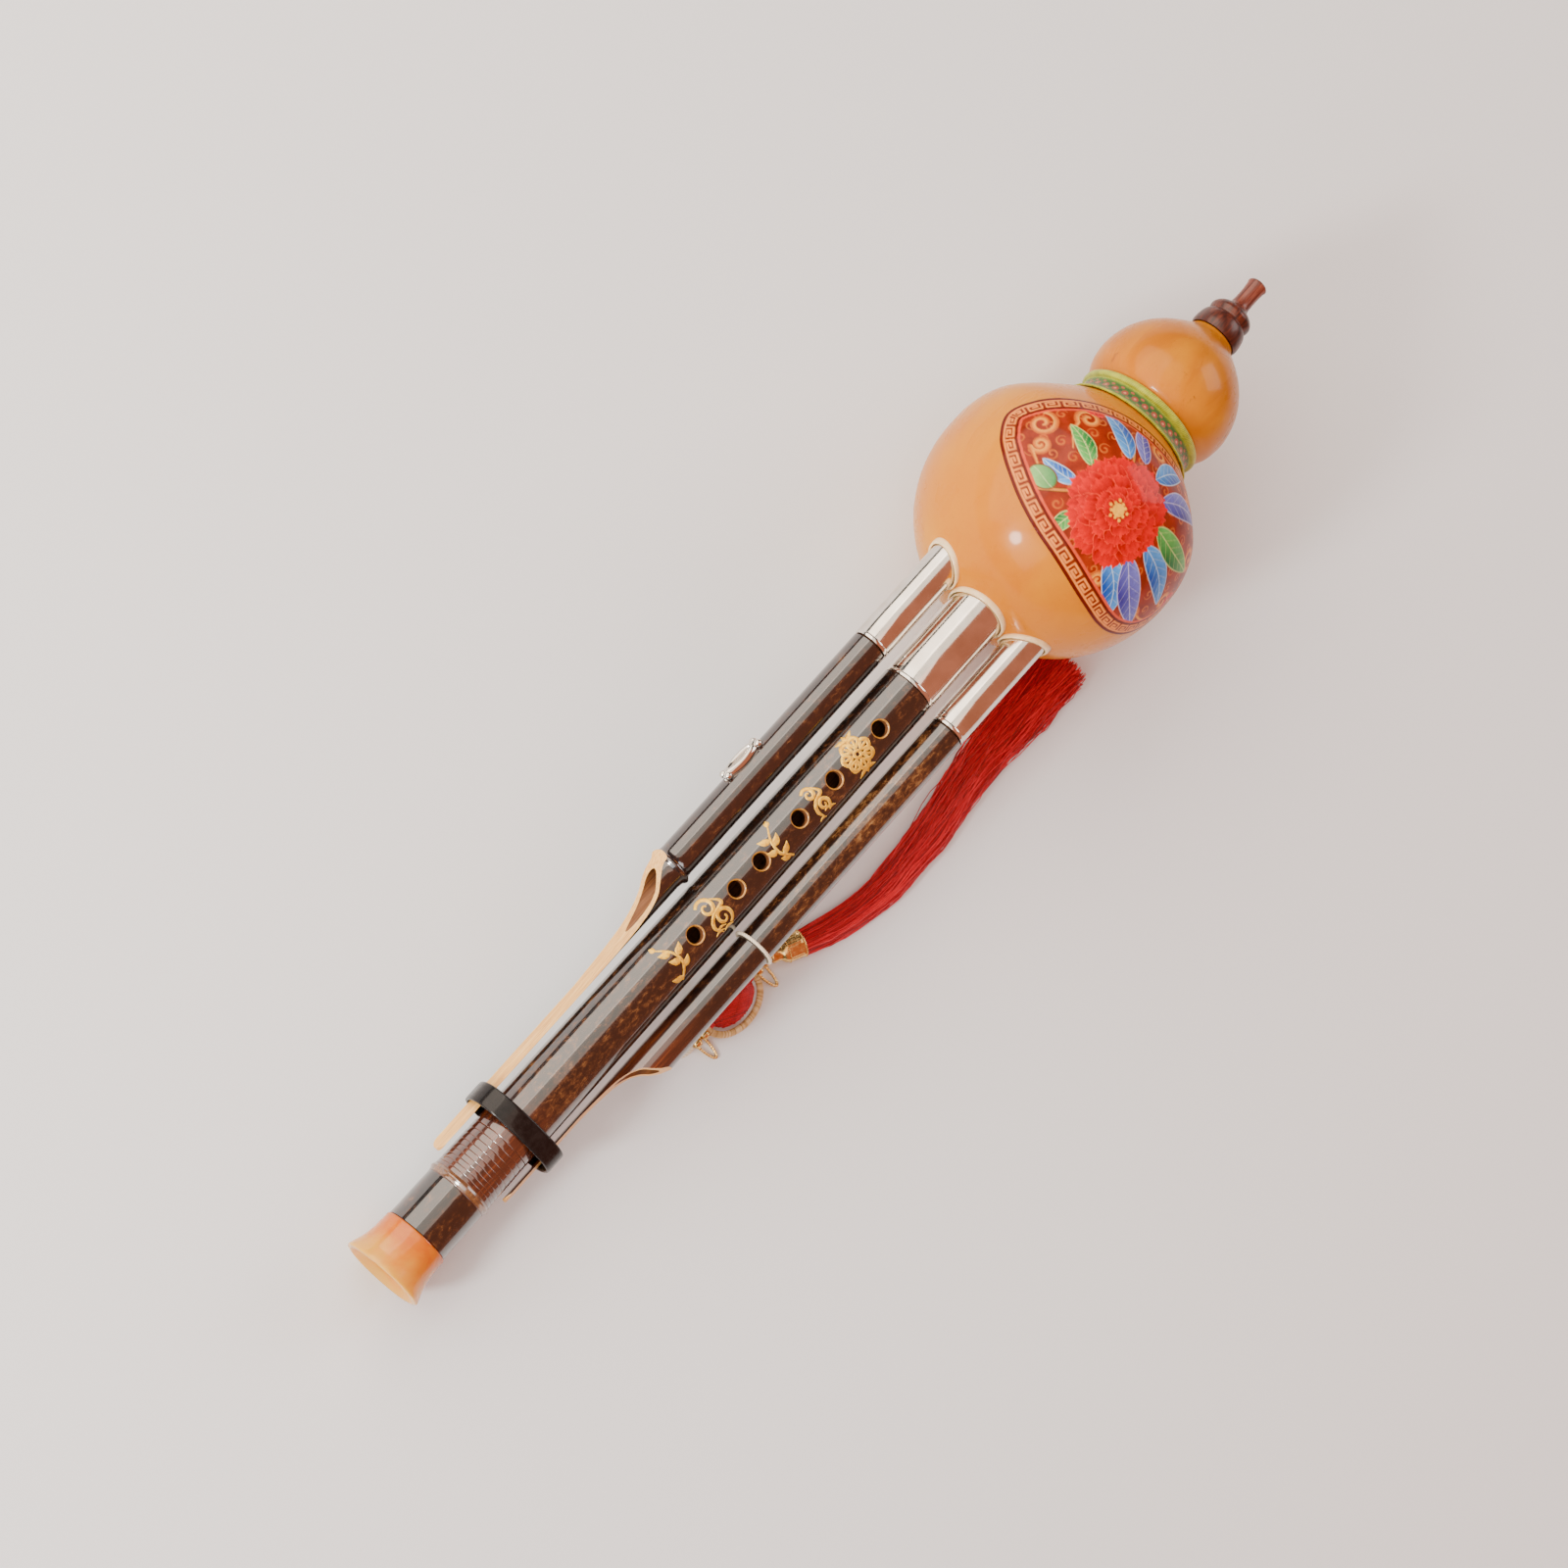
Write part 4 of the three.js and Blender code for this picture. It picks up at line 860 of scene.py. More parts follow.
def strandRecipe():
    # Threads that run side by side along the path, in an oval bundle that may widen or narrow.
    r = Recipe("strandsAlongPath", {
        "Threads": 100, "Steps": 20, "Sides": 3, "Seed": 1, "Start Width": 0.005, "End Width": 0.008,
        "Height": 0.003, "Thread Radius": 0.0001, "Wander": 0.0005, "End Spread": 0.0, "Finish": None,
    })
    guide = r.node("GeometryNodeMeshToCurve", {"Mesh": r.source}).outputs[0]
    seeds = r.node("GeometryNodePoints", {"Count": r.size("Threads")}).outputs[0]
    straight = r.node("GeometryNodeCurvePrimitiveLine").outputs[0]
    steps = r.node("GeometryNodeResampleCurve", {"Curve": straight, "Count": r.size("Steps")}).outputs[0]
    spread = r.node("GeometryNodeInstanceOnPoints", {"Points": seeds, "Instance": steps}).outputs[0]
    for salt, (key, most) in enumerate((("ringShare", 1.0), ("ringAngle", 2 * math.pi), ("threadShade", 1.0),
                                        ("threadReach", 1.0)), 1):
        spread = r.stored(spread, key, r.random(0.0, most, salt))
    lines = r.node("GeometryNodeRealizeInstances", {"Geometry": spread}).outputs[0]

    def kept(name):
        return r.node("GeometryNodeInputNamedAttribute", {"Name": name}, data_type="FLOAT").outputs[0]

    gone = r.node("GeometryNodeSplineParameter").outputs["Factor"]
    share = r.times(gone, r.minus(1.0, r.times(kept("threadReach"), r.size("End Spread"))))
    sample = r.node("GeometryNodeSampleCurve", {"Curves": guide, "Factor": share}, mode="FACTOR",
                    use_all_curves=True)
    place, tangent = sample.outputs["Position"], sample.outputs["Tangent"]
    side = r.vector("NORMALIZE", r.vector("CROSS_PRODUCT", tangent, (0, 0, 1)))
    up = r.vector("CROSS_PRODUCT", side, tangent)
    # each thread keeps its place in the oval, and wanders to the sides further on
    out = r.math("SQRT", kept("ringShare"))
    across, above = (r.times(out, r.math(kind, kept("ringAngle"))) for kind in ("COSINE", "SINE"))
    width = r.add(r.times(r.size("Start Width"), r.minus(1.0, share)), r.times(r.size("End Width"), share))
    waveAt = r.node("ShaderNodeCombineXYZ", {0: r.times(share, 5.0), 1: r.times(kept("ringAngle"), 7.0),
                                             2: r.times(kept("ringShare"), 11.0)}).outputs[0]
    wave = r.node("ShaderNodeTexNoise", {"Vector": waveAt, "Scale": 1.6, "Detail": 1.0}).outputs[0]
    swing = r.times(r.times(r.minus(wave, 0.5), r.size("Wander")), r.math("SQRT", share))
    sideways = r.add(r.times(across, width), swing)
    upward = r.times(above, r.size("Height"))
    moved = r.vector("ADD", r.vector("ADD", place, r.scaled(side, sideways)), r.scaled(up, upward))
    bent = r.node("GeometryNodeSetPosition", {"Geometry": lines, "Position": moved}).outputs[0]
    tubes = r.node("GeometryNodeCurveToMesh", {"Curve": bent, "Profile Curve": r.thread(), "Fill Caps": True})
    r.close(tubes.outputs[0])
    return r


def loopRecipe():
    # Thread turns set side by side round a path, each turn an oval of thread.
    r = Recipe("turnsRoundPath", {
        "Turns": 60, "Sides": 4, "Loop Steps": 12, "Seed": 1, "Loop Width": 0.001, "Loop Height": 0.001,
        "Thread Radius": 0.0001, "Lean": 0.0, "Finish": None,
    })
    spots, upright = r.spotsAlong("Turns")
    circle = r.node("GeometryNodeCurvePrimitiveCircle", {"Resolution": r.size("Loop Steps"), "Radius": 1.0})
    stretch = r.node("ShaderNodeCombineXYZ", {0: r.size("Loop Width"), 1: r.size("Loop Height"), 2: 1.0})
    oval = r.node("GeometryNodeTransform", {"Geometry": circle.outputs[0], "Scale": stretch.outputs[0]})
    turn = r.node("GeometryNodeCurveToMesh",
                  {"Curve": oval.outputs[0], "Profile Curve": r.thread()}).outputs[0]
    lean = r.node("ShaderNodeCombineXYZ", {0: r.size("Lean")}).outputs[0]
    leaned = r.node("FunctionNodeRotateEuler", {"Rotation": upright, "Rotate By": lean},
                    space="LOCAL").outputs[0]
    placed = r.node("GeometryNodeInstanceOnPoints", {"Points": spots, "Instance": turn, "Rotation": leaned})
    r.close(r.stored(placed.outputs[0], "threadShade", r.random(0.2, 0.9, 1)))
    return r


def beadRecipe():
    # Small beads set at even steps along a path.
    r = Recipe("beadsAlongPath", {"Beads": 12, "Bead Radius": 0.001, "Finish": None})
    spots, upright = r.spotsAlong("Beads")
    ball = r.node("GeometryNodeMeshUVSphere", {"Segments": 10, "Rings": 6, "Radius": r.size("Bead Radius")})
    inputs = {"Points": spots, "Instance": ball.outputs[0], "Rotation": upright}
    r.close(r.node("GeometryNodeInstanceOnPoints", inputs).outputs[0])
    return r


strands = strandRecipe()
turns = loopRecipe()
beading = beadRecipe()
print("recipes ready")


def pointValues(piece, name, values):
    layer = piece.data.attributes.new(name, "FLOAT", "POINT")
    layer.data.foreach_set("value", np.asarray(values, np.float32).ravel())


def paintThreadToneAndShade(piece, values):
    # values from 0 to 1, dark to bright; one number stands for the whole piece. They hold each thread's own
    # tone, and painted shade in the grooves of laid rope and on the cores under windings
    pointValues(piece, "threadShade", np.broadcast_to(values, np.shape(values) or len(piece.data.vertices)))


def plied(name, line, material, thickness, plies, pitch, depth, sides, closed=False):
    # A rope of laid strands: the section has a lobe for each ply and turns along the line.
    p = np.asarray(line, float)
    gone = wayAlong(p)
    if closed:
        whole = gone[-1] + np.linalg.norm(p[0] - p[-1])
        pitch = whole / max(round(whole / pitch), 1)
    angles = roundTurn(sides)
    crest = np.abs(np.cos(plies / 2 * (angles[None] - (2 * math.pi * gone / pitch)[:, None])))
    rings = tubeSections(p, thickness / 2, sides, closed)
    rings = p[:, None] + (rings - p[:, None]) * (1 - depth + depth * crest)[..., None]
    piece = sweep(name, asWorld(rings), [material], closed)
    # painted shade: the colour is darker in the grooves between the plies and lighter on their crests
    paintThreadToneAndShade(piece, crest * 0.8)
    return piece


tasselCord = {
    "route": [[-62.1, -18.2, 24.4], [-62.1, -18.3, 19], [-62.9, -18.4, 12.6], [-65.6, -18.5, 6.8],
              [-70.8, -18.7, 2.8], [-78, -19, 1.1], [-86, -19.8, 0.75], [-92.4, -22.4, 0.75],
              [-95.4, -26.2, 0.95], [-94.9, -29.3, 1.9], [-92.3, -30.4, 2.9], [-89.9, -30.5, 3.05]],
    "rope": {"thickness": 1.2, "plies": 3, "pitch": 3.2, "depth": 0.22, "sides": 12},
    "spacing": 0.3, "pathSpacing": 2.0,
}
cordLine = splineThrough(tasselCord["route"], 16)
cordPath = evenly(cordLine, tasselCord["pathSpacing"])
cordLength = float(np.linalg.norm(np.diff(evenly(cordLine, 0.5), axis=0), axis=1).sum())
tasselCordPiece = plied("tasselCord", evenly(cordLine, tasselCord["spacing"]), creamThread,
                        **tasselCord["rope"])
settle(tasselCordPiece, "gourd", "cream_cord", "tassel_cord")
print("cord length", round(cordLength, 2), "mm")

tassel = {"y": -30.5, "z": 3.05, "beadsAt": (-87.9, -84.2, -56.6, -52.9), "beadRadius": 1.7, "beadBore": 0.45}


def ovalLine(centre, halfX, halfY, count):
    a = roundTurn(count)
    x, y = centre[0] + halfX * np.cos(a), centre[1] + halfY * np.sin(a)
    return np.stack([x, y, np.full(count, centre[2])], -1)


def makeTasselBeads():
    radius, bore = tassel["beadRadius"], tassel["beadBore"]
    outline = [(-radius * math.cos(a), radius * math.sin(a))
               for a in np.radians(np.linspace(15.5, 164.5, 15))]
    outline += [(radius * 0.8, bore * 0.8), (-radius * 0.8, bore * 0.8)]
    pieces = []
    for number, x in enumerate(tassel["beadsAt"], 1):
        def place(points, x=x):
            return asWorld(np.asarray(points, float) + (x, tassel["y"], tassel["z"]))

        def flutes(along, angles):
            bulge = 1 - (along / radius) ** 2
            return -0.14 * np.abs(np.sin(5 * angles)) * math.sqrt(max(bulge, 0))

        bead = turned(f"tasselBead{number}", outline, 60, place, [gilt], closed=True, ripple=flutes)
        settle(bead, "gourd", "gilt", f"tassel_bead_{number}")
        pieces.append(bead)
    return pieces


def makeTasselWires():
    wire = {"at": (-86.05, -54.75), "z": 0.55, "halfX": 1.8, "halfY": 8.2,
            "rope": {"thickness": 1.0, "plies": 2, "pitch": 1.7, "depth": 0.3, "sides": 10}}
    pieces = []
    for label, x in zip(("head", "foot"), wire["at"]):
        line = ovalLine((x, tassel["y"], wire["z"]), wire["halfX"], wire["halfY"], 200)
        piece = plied(f"tassel{label.title()}Wire", line, gilt, closed=True, **wire["rope"])
        settle(piece, "gourd", "gilt", f"tassel_{label}_wire")
        pieces.append(piece)
    return pieces


def makeTasselRing():
    ring = {"centre": (-70.4, -30.5, 3.05), "halfX": 11.8, "halfY": 7.9, "core": 0.95, "turns": 168,
            "thread": 0.19}
    line = ovalLine(ring["centre"], ring["halfX"], ring["halfY"], 150)
    core = sweep("tasselRing", asWorld(tubeSections(line, ring["core"], 12, True)), [goldThread], True)
    # the core under the winding gets a dark tone: painted shade between the turns
    paintThreadToneAndShade(core, 0.2)
    settle(core, "gourd", "gilt", "tassel_ring")
    size = (ring["core"] + 0.05) * mm
    wound = turns.run("tasselRingWinding", asWorld(line), True, Turns=ring["turns"], **{
        "Loop Width": size, "Loop Height": size, "Thread Radius": ring["thread"] * mm, "Loop Steps": 14,
        "Lean": 0.16, "Finish": goldThread})
    settle(wound, "gourd", "gilt", "tassel_ring")
    return [core, wound]


def makeTasselKnot():
    # A button of red silk wound in three directions over a padded oval.
    knot = {"centre": (-70.4, -30.5, 3.05), "half": (9.5, 5.7, 2.8), "padInset": 0.3, "padSides": 40,
            "threads": 24, "thread": 0.24, "tilts": (0.0, 0.72, -0.72), "steps": 48, "sides": 4,
            "within": 0.955, "tieFrom": 8.6, "tieTo": 11.3,
            "tie": {"thickness": 1.7, "plies": 3, "pitch": 2.2, "depth": 0.3, "sides": 12}}
    half = [h - knot["padInset"] for h in knot["half"]]
    b = roundTurn(knot["padSides"])
    rings = []
    for a in np.linspace(0.02, math.pi - 0.02, 26):
        x, r = -math.cos(a), math.sin(a)
        rings.append(np.stack([np.full(len(b), x * half[0]), r * np.cos(b) * half[1],
                               r * np.sin(b) * half[2]], -1))
    # the padded oval is the darkest silk tone: painted shade seen between the wound threads
    core = sweep("tasselKnot", asWorld(np.array(rings) + knot["centre"]), [paintedShadeSilk])
    paintThreadToneAndShade(core, 0.1)
    settle(core, "gourd", "silk", "tassel_knot")
    points, faces, shades = [], [], []
    rng = np.random.default_rng(31)
    a = np.linspace(0, 2 * math.pi, knot["steps"], endpoint=False)
    for family, tilt in enumerate(knot["tilts"]):
        for i in range(knot["threads"]):
            share = (i + 0.5) / knot["threads"] * 2 - 1
            flat = math.sqrt(max(1 - share**2, 0.0))
            u, v, w = flat * np.cos(a), np.full(len(a), share), flat * np.sin(a)
            lift = 1.0 + 0.02 * family + 0.012 * np.sin(3 * a + i)
            x = (u * math.cos(tilt) - v * math.sin(tilt)) * knot["half"][0] * lift
            y = (u * math.sin(tilt) + v * math.cos(tilt)) * knot["half"][1] * lift
            z = w * knot["half"][2] * lift
            line = np.stack([x, y, z], -1) * knot["within"] + knot["centre"]
            faces += tubeFaces(len(a), knot["sides"], True, len(points))
            points.extend(tubeSections(line, knot["thread"], knot["sides"], True).reshape(-1, 3))
            shades.extend([rng.uniform(0.1, 0.75)] * len(a) * knot["sides"])
    wound = newPiece("tasselKnotThreads", asWorld(points), faces, [redSilk])
    paintThreadToneAndShade(wound, shades)
    settle(wound, "gourd", "silk", "tassel_knot")
    # a short plied tie at each end holds the button in its ring
    ties = []
    for number, hand in enumerate((-1, 1), 1):
        tie = np.array([knot["centre"]] * 12, float)
        tie[:, 0] += hand * np.linspace(knot["tieFrom"], knot["tieTo"], 12)
        ties.append(plied(f"tasselKnotTie{number}", tie, redSilk, **knot["tie"]))
        settle(ties[-1], "gourd", "silk", "tassel_knot")
    return [core, wound] + ties


capAndFringe = {
    "end": (-39.2, -35.7, 3.05), "gap": 0.3, "length": 12.0, "turn": math.radians(-24), "flat": 3.05 / 4.4,
    "outline": [(0, 0.7), (0, 2.0), (0.25, 2.25), (0.8, 2.35), (2.6, 2.3), (3.3, 2.55), (3.7, 2.9),
                (4.1, 3.4), (4.9, 3.85), (5.6, 4.05), (6.4, 4.15), (10.6, 4.3), (11.2, 4.4), (11.8, 4.4),
                (12.0, 4.2), (12.0, 3.7), (9.0, 3.6), (6.0, 3.4), (4.0, 1.8), (1.0, 0.7)],
    "route": [[-39.2, -35.7, 3.05], [-28, -40.2, 3.05], [-10, -44.2, 3.05], [15, -44.6, 3.05],
              [45, -42, 3.05], [72, -42.2, 3.05], [96, -43, 3.05]],
}


def onCap(points):
    p = np.asarray(points, float)
    c, s = math.cos(capAndFringe["turn"]), math.sin(capAndFringe["turn"])
    x = p[..., 0] - capAndFringe["length"] - capAndFringe["gap"]
    y, z = p[..., 1], p[..., 2] * capAndFringe["flat"]
    end = capAndFringe["end"]
    return asWorld(np.stack([x * c - y * s + end[0], x * s + y * c + end[1], z + end[2]], -1))


def makeTasselCap():
    def ribs(along, angles):
        return -0.13 * np.abs(np.sin(12 * angles)) if 6.0 < along < 10.9 else 0 * angles
    outside, inside = capAndFringe["outline"][:14], capAndFringe["outline"][14:]
    outline = evenly(outside, 0.3).tolist() + [list(p) for p in inside]
    cap = turned("tasselCap", outline, 96, onCap, [gilt], closed=True, ripple=ribs)
    settle(cap, "gourd", "gilt", "tassel_cap")
    # the gold thread that runs from the last bead into the cap's neck
    far = tuple(onCap((2.0, 0.0, 0.0)) / mm)
    thread = evenly([(tassel["beadsAt"][-1], tassel["y"], tassel["z"]), far], 0.3)
    tie = plied("tasselCapTie", thread, goldThread, thickness=0.85, plies=3, pitch=1.6, depth=0.25, sides=10)
    settle(tie, "gourd", "gilt", "tassel_cap")
    pieces = [cap, tie]
    # each row's place along the cap, its radius, how many beads it has, and their radius
    rows = {"tasselCapBeadRow": (11.45, 4.38, 40, 0.3), "tasselCapCollarRow": (5.75, 4.1, 36, 0.26)}
    for name, (along, radius, count, size) in rows.items():
        line = onCap(circleAt(along, radius, 120))
        row = beading.run(name, line, True, Beads=count, **{"Bead Radius": size * mm, "Finish": gilt})
        settle(row, "gourd", "gilt", "tassel_cap")
        pieces.append(row)
    return pieces


def makeFringe():
    fringe = {"threads": 860, "steps": 26, "width": (4.0, 8.4), "height": 2.75, "thread": 0.17, "wander": 9.0}
    route = evenly(splineThrough([[-42.0, -34.6, 3.05]] + capAndFringe["route"], 10), 2.0)
    sizes = {"Start Width": fringe["width"][0] * mm, "End Width": fringe["width"][1] * mm,
             "Height": fringe["height"] * mm, "Thread Radius": fringe["thread"] * mm,
             "Wander": fringe["wander"] * mm, "End Spread": 0.035}
    piece = strands.run("tasselFringe", asWorld(route), Threads=fringe["threads"], Steps=fringe["steps"],
                        Sides=3, Seed=7, Finish=redSilk, **sizes)
    settle(piece, "gourd", "silk", "tassel_fringe")


def makeTasselLoop():
    loop = {"at": 152.0, "radius": 6.75,
            "rope": {"thickness": 1.2, "plies": 3, "pitch": 2.6, "depth": 0.22, "sides": 12}}
    ring = besidePipe("right")(circleAt(loop["at"], loop["radius"], 150))
    piece = plied("tasselLoop", ring / mm, creamThread, closed=True, **loop["rope"])
    settle(piece, "gourd", "cream_cord", "tassel_loop")
    return [piece]


onTheCord = [piece for make in (makeTasselBeads, makeTasselWires, makeTasselRing, makeTasselKnot,
                                makeTasselCap, makeTasselLoop) for piece in make()]
makeFringe()
tuple(asWorld(tasselCord["route"][0]))
[list(p) for p in asWorld(cordPath)]
print("tassel ready")


gourd = {
    "bulb": 44.6, "sides": 192, "wall": 3.2, "neckHole": 6.5,
    "upper": [[9, 44.1], [17.5, 41.4], [24, 36.5], [29.5, 30.9], [34, 25.9], [37, 22.3], [39.2, 19.9],
              [41, 18.75], [42.7, 18.35], [43.8, 18.9], [45.3, 20.6], [47.3, 22.4], [50.3, 24.05],
              [53.9, 24.8], [58, 24.9], [64, 23.7], [69, 21.4], [73.5, 18.1], [77.3, 14.1], [80.2, 10.5],
              [82, 8.6], [83, 8.0]],
    "seats": {"main": 9.6, "left": 6.45, "right": 6.45}, "seatFrom": 240.0, "seatTo": 303.0,
}


def gourdOuter():
    low = [(-gourd["bulb"] * math.cos(a), gourd["bulb"] * math.sin(a))
           for a in np.radians(np.arange(0, 90, 5.0))]
    line = splineThrough(low + [(0.0, gourd["bulb"])] + gourd["upper"], 4)
    line[0] = (-gourd["bulb"], 0.0)
    return line


def onFloor(piece, clearance=0.02):
    low = clearance * mm
    for vertex in piece.data.vertices:
        if vertex.co.z < low:
            vertex.co.z = low


def makeGourd():
    outer = gourdOuter()
    slope = np.gradient(outer, axis=0)
    inward = np.stack([slope[:, 1], -slope[:, 0]], -1)
    inward /= np.linalg.norm(inward, axis=1)[:, None]
    hole = gourd["neckHole"]
    inner = outer + inward * gourd["wall"]
    inner = inner[(inner[:, 1] > hole + 0.4) | (inner[:, 0] < 0)]
    inner = inner[inner[:, 1] >= 0][::-2]
    inner = inner[inner[:, 0] < 77.4]
    lip = [(83.15, 7.75), (83.2, 7.4), (83.15, 6.75), (82.9, hole), (80.5, hole), (78.4, hole)]
    outline = np.concatenate([outer, lip, inner, [(gourd["wall"] - gourd["bulb"], 0.0)]])
    skinned = len(outer) + 3
    piece = turned("gourdBody", outline, gourd["sides"], gourdToWorld, [lacquer, rawGourd],
                   slots=lambda i, line: 0 if i < skinned else 1)
    low, high = gourd["seatFrom"], gourd["seatTo"]
    drills = [turned(f"{name}SeatDrill", [(low, 0), (low, radius), (high, radius), (high, 0)], 64,
                     besidePipe(name), [rawGourd]) for name, radius in gourd["seats"].items()]
    cut(piece, joined("seatDrills", drills))
    onFloor(piece)
    settle(piece, "gourd", "gourd", "gourd_shell")


waistBand = {
    "low": 36.9, "high": 45.4, "under": 0.3, "sides": 192,
    # two rolled edges with the printed ribbon between them, each point along the gourd and its radius
    "lowRoll": [(36.7, 23.2), (36.75, 23.5), (36.95, 23.72), (37.2, 23.68), (37.4, 23.4)],
    "ribbon": [(37.55, 23.05), (38.2, 22.62), (39.2, 21.98), (40.3, 21.42), (41.4, 21.12), (42.4, 21.12),
               (42.85, 21.25)],
    "highRoll": [(43.0, 21.45), (43.15, 21.95), (43.6, 22.4), (44.3, 22.55), (45.0, 22.35), (45.5, 21.8),
                 (45.65, 21.2)],
}


def makeWaistBand():
    b = waistBand
    skin = gourdOuter()
    line = np.array([p for p in skin if b["low"] <= p[0] <= b["high"]])
    slope = np.gradient(line, axis=0)
    out = np.stack([-slope[:, 1], slope[:, 0]], -1)
    inside = line + out / np.linalg.norm(out, axis=1)[:, None] * b["under"]
    parts = [splineThrough(b[key], 4) for key in ("lowRoll", "ribbon", "highRoll")]
    marks = np.cumsum([len(p) for p in parts])
    outline = np.concatenate(parts + [inside[::-1]])

    def slots(i, points):
        return 1 if marks[0] <= i < marks[1] - 1 else 0

    piece = turned("waistBand", outline, b["sides"], gourdToWorld, [ribbonEdge, ribbonPrint], slots,
                   closed=True)
    layer = piece.data.uv_layers["around"].data
    uv = np.empty(len(layer) * 2, np.float32)
    layer.foreach_get("uv", uv)
    gone = wayAlong(outline)
    uv[1::2] = (uv[1::2] - gone[marks[0]]) / (gone[marks[1] - 1] - gone[marks[0]])
    layer.foreach_set("uv", uv)
    settle(piece, "gourd", "ribbon", "waist_band")


def makeMouthpiece():
    wood = {
        "outer": [[83.3, 8.4], [84.6, 8.8], [87.6, 8.6], [89.8, 7.9], [90.8, 7.0], [91.5, 7.3], [93.1, 7.6],
                  [94.7, 6.8], [95.9, 5.3], [96.9, 3.9], [98, 3.3], [103.5, 3.05], [106.6, 3.3], [107.7, 3.5],
                  [108.3, 3.1]],
        "tenon": 5.2, "tenonFrom": 72.5, "bore": 2.0, "wideBore": 3.2, "wideUntil": 92.0, "sides": 96,
    }
    outer = splineThrough(wood["outer"], 6).tolist()
    low, bore, wide, tenon = wood["tenonFrom"], wood["bore"], wood["wideBore"], wood["tenon"]
    shoulder, tip = outer[0][0], outer[-1][0]
    outline = [(low, wide), (low, tenon - 0.3), (low + 0.3, tenon), (low + 1.7, tenon),
               (shoulder - 0.5, tenon), (shoulder, tenon), (shoulder, 8.0)] + outer
    outline += [(tip, 2.5), (tip - 0.2, bore + 0.1), (tip - 0.6, bore), (98, bore), (wood["wideUntil"], bore),
                (wood["wideUntil"] - 0.4, wide)]
    piece = turned("mouthpieceTurned", outline, wood["sides"], gourdToWorld, [rosewood], closed=True)
    crisp(piece, 50)
    settle(piece, "mouthpiece", "rosewood", "mouthpiece")


# each ferrule's radius, its wall and its start along the pipe
ferrules = {"main": (9.3, 0.7, 245.2), "left": (6.15, 0.55, 246.8), "right": (6.15, 0.55, 244.6)}
ferruleEnd = 302.0


def makeCollars():
    # "profile" holds each point's way out from the ferrule and its height over the gourd
    collar = {"room": 0.3, "sides": 120, "profile": [
        (0.0, -0.6), (0.0, 0.6), (0.0, 1.2), (0.1, 1.48), (0.3, 1.62), (0.45, 1.64), (0.62, 1.58),
        (0.78, 1.36), (0.85, 1.1), (0.88, 0.6), (0.9, -0.6)]}
    angles = roundTurn(collar["sides"])
    for name, (ferruleRadius, _, _) in ferrules.items():
        rings = []
        for offset, height in collar["profile"]:
            radius = ferruleRadius + collar["room"] + offset
            y, z = pipeSides[name] + radius * np.sin(angles), radius * np.cos(angles)
            inward = np.sqrt(gourd["bulb"] ** 2 - y**2 - (z + rest["gourdCentreBack"]) ** 2)
            rings.append(np.stack([rest["gourdCentreAt"] - inward - height, y, z], -1))
        sections = np.array(rings).transpose(1, 0, 2)
        piece = sweep(f"{name}Collar", toWorld(sections), [cream], True)
        settle(piece, "gourd", "cream", f"{name}_collar")


def makeFerrules():
    for name, (radius, wall, start) in ferrules.items():
        # a rounded lip and a fine groove behind it, then the plain sleeve
        lip = [(0, 0.05 - wall), (0, -0.25), (0.1, -0.07), (0.3, 0), (1.2, 0), (1.32, -0.1), (1.5, -0.1),
               (1.62, 0)]
        outline = [(start + a, radius + b) for a, b in lip]
        outline += [(start + 12, radius), (start + 25, radius), (start + 38, radius), (ferruleEnd, radius),
                    (ferruleEnd, radius - wall), (start + 0.2, radius - wall)]
        piece = turned(f"{name}Ferrule", outline, 112, besidePipe(name), [nickel], closed=True)
        crisp(piece, 40)
        settle(piece, "gourd", "nickel", f"{name}_ferrule")


mainPipe = {
    "bore": 6.2, "sides": 144, "holes": (139.8, 159.2, 170.9, 189.1, 205.6, 227.6), "holeRadius": 2.7,
    "rimRadius": 3.15, "rimDepth": 0.5, "thumbAt": 236.5, "thumbRadius": 2.4, "thumbRim": 2.85,
    "body": [(15.8, 10.8), (20, 10.75), (28, 10.7), (33.6, 10.68), (34.3, 10.95), (35, 11.28), (35.7, 10.95),
             (36.4, 10.7), (45, 10.55), (60, 10.35), (100, 10.12), (150, 9.85), (200, 9.5), (244.9, 9.2)],
    "foot": (6.3, 9.0), "shoulder": (245.0, 9.0), "tenon": (272.9, 8.0), "groove": (253.9, 267.5, 0.6),
    "lineHalf": 0.18, "lineDepth": 0.10,
    "rings": (33.3, 36.1, 37.6, 39.2, 40.9, 42.7, 44.6, 46.6, 48.8, 51.1, 53.5),
}


def pipeRadius(along):
    table = np.asarray(mainPipe["body"])
    return np.interp(along, table[:, 0], table[:, 1])


def holeCutter(name, at, radius, rim, front):
    # The rim's bevel keeps an even width, so it follows the round of the pipe.
    steps = 72
    angles = roundTurn(steps)
    skin, deep = pipeRadius(at), mainPipe["rimDepth"]

    def ring(r, lift):
        across = r * np.sin(angles)
        height = np.full(steps, 2.0) if lift is None else np.sqrt(skin**2 - across**2) + lift
        return np.stack([at + r * np.cos(angles), across, height * front], -1)

    flare = (rim - radius) / deep
    rings = [ring(radius, None), ring(radius, -deep), ring(radius + (rim - radius) * 0.5, -deep * 0.5 - 0.12),
             ring(rim, 0.0), ring(rim + flare * 0.6, 0.6)]
    top = rings[-1].copy()
    top[:, 2] = (skin + 3.0) * front
    rings.append(top)
    piece = sweep(name, toWorld(np.array(rings)), [boreBamboo, holeRim])
    for face in piece.data.polygons:
        if steps <= face.index < steps * 5:
            face.material_index = 1
    return piece


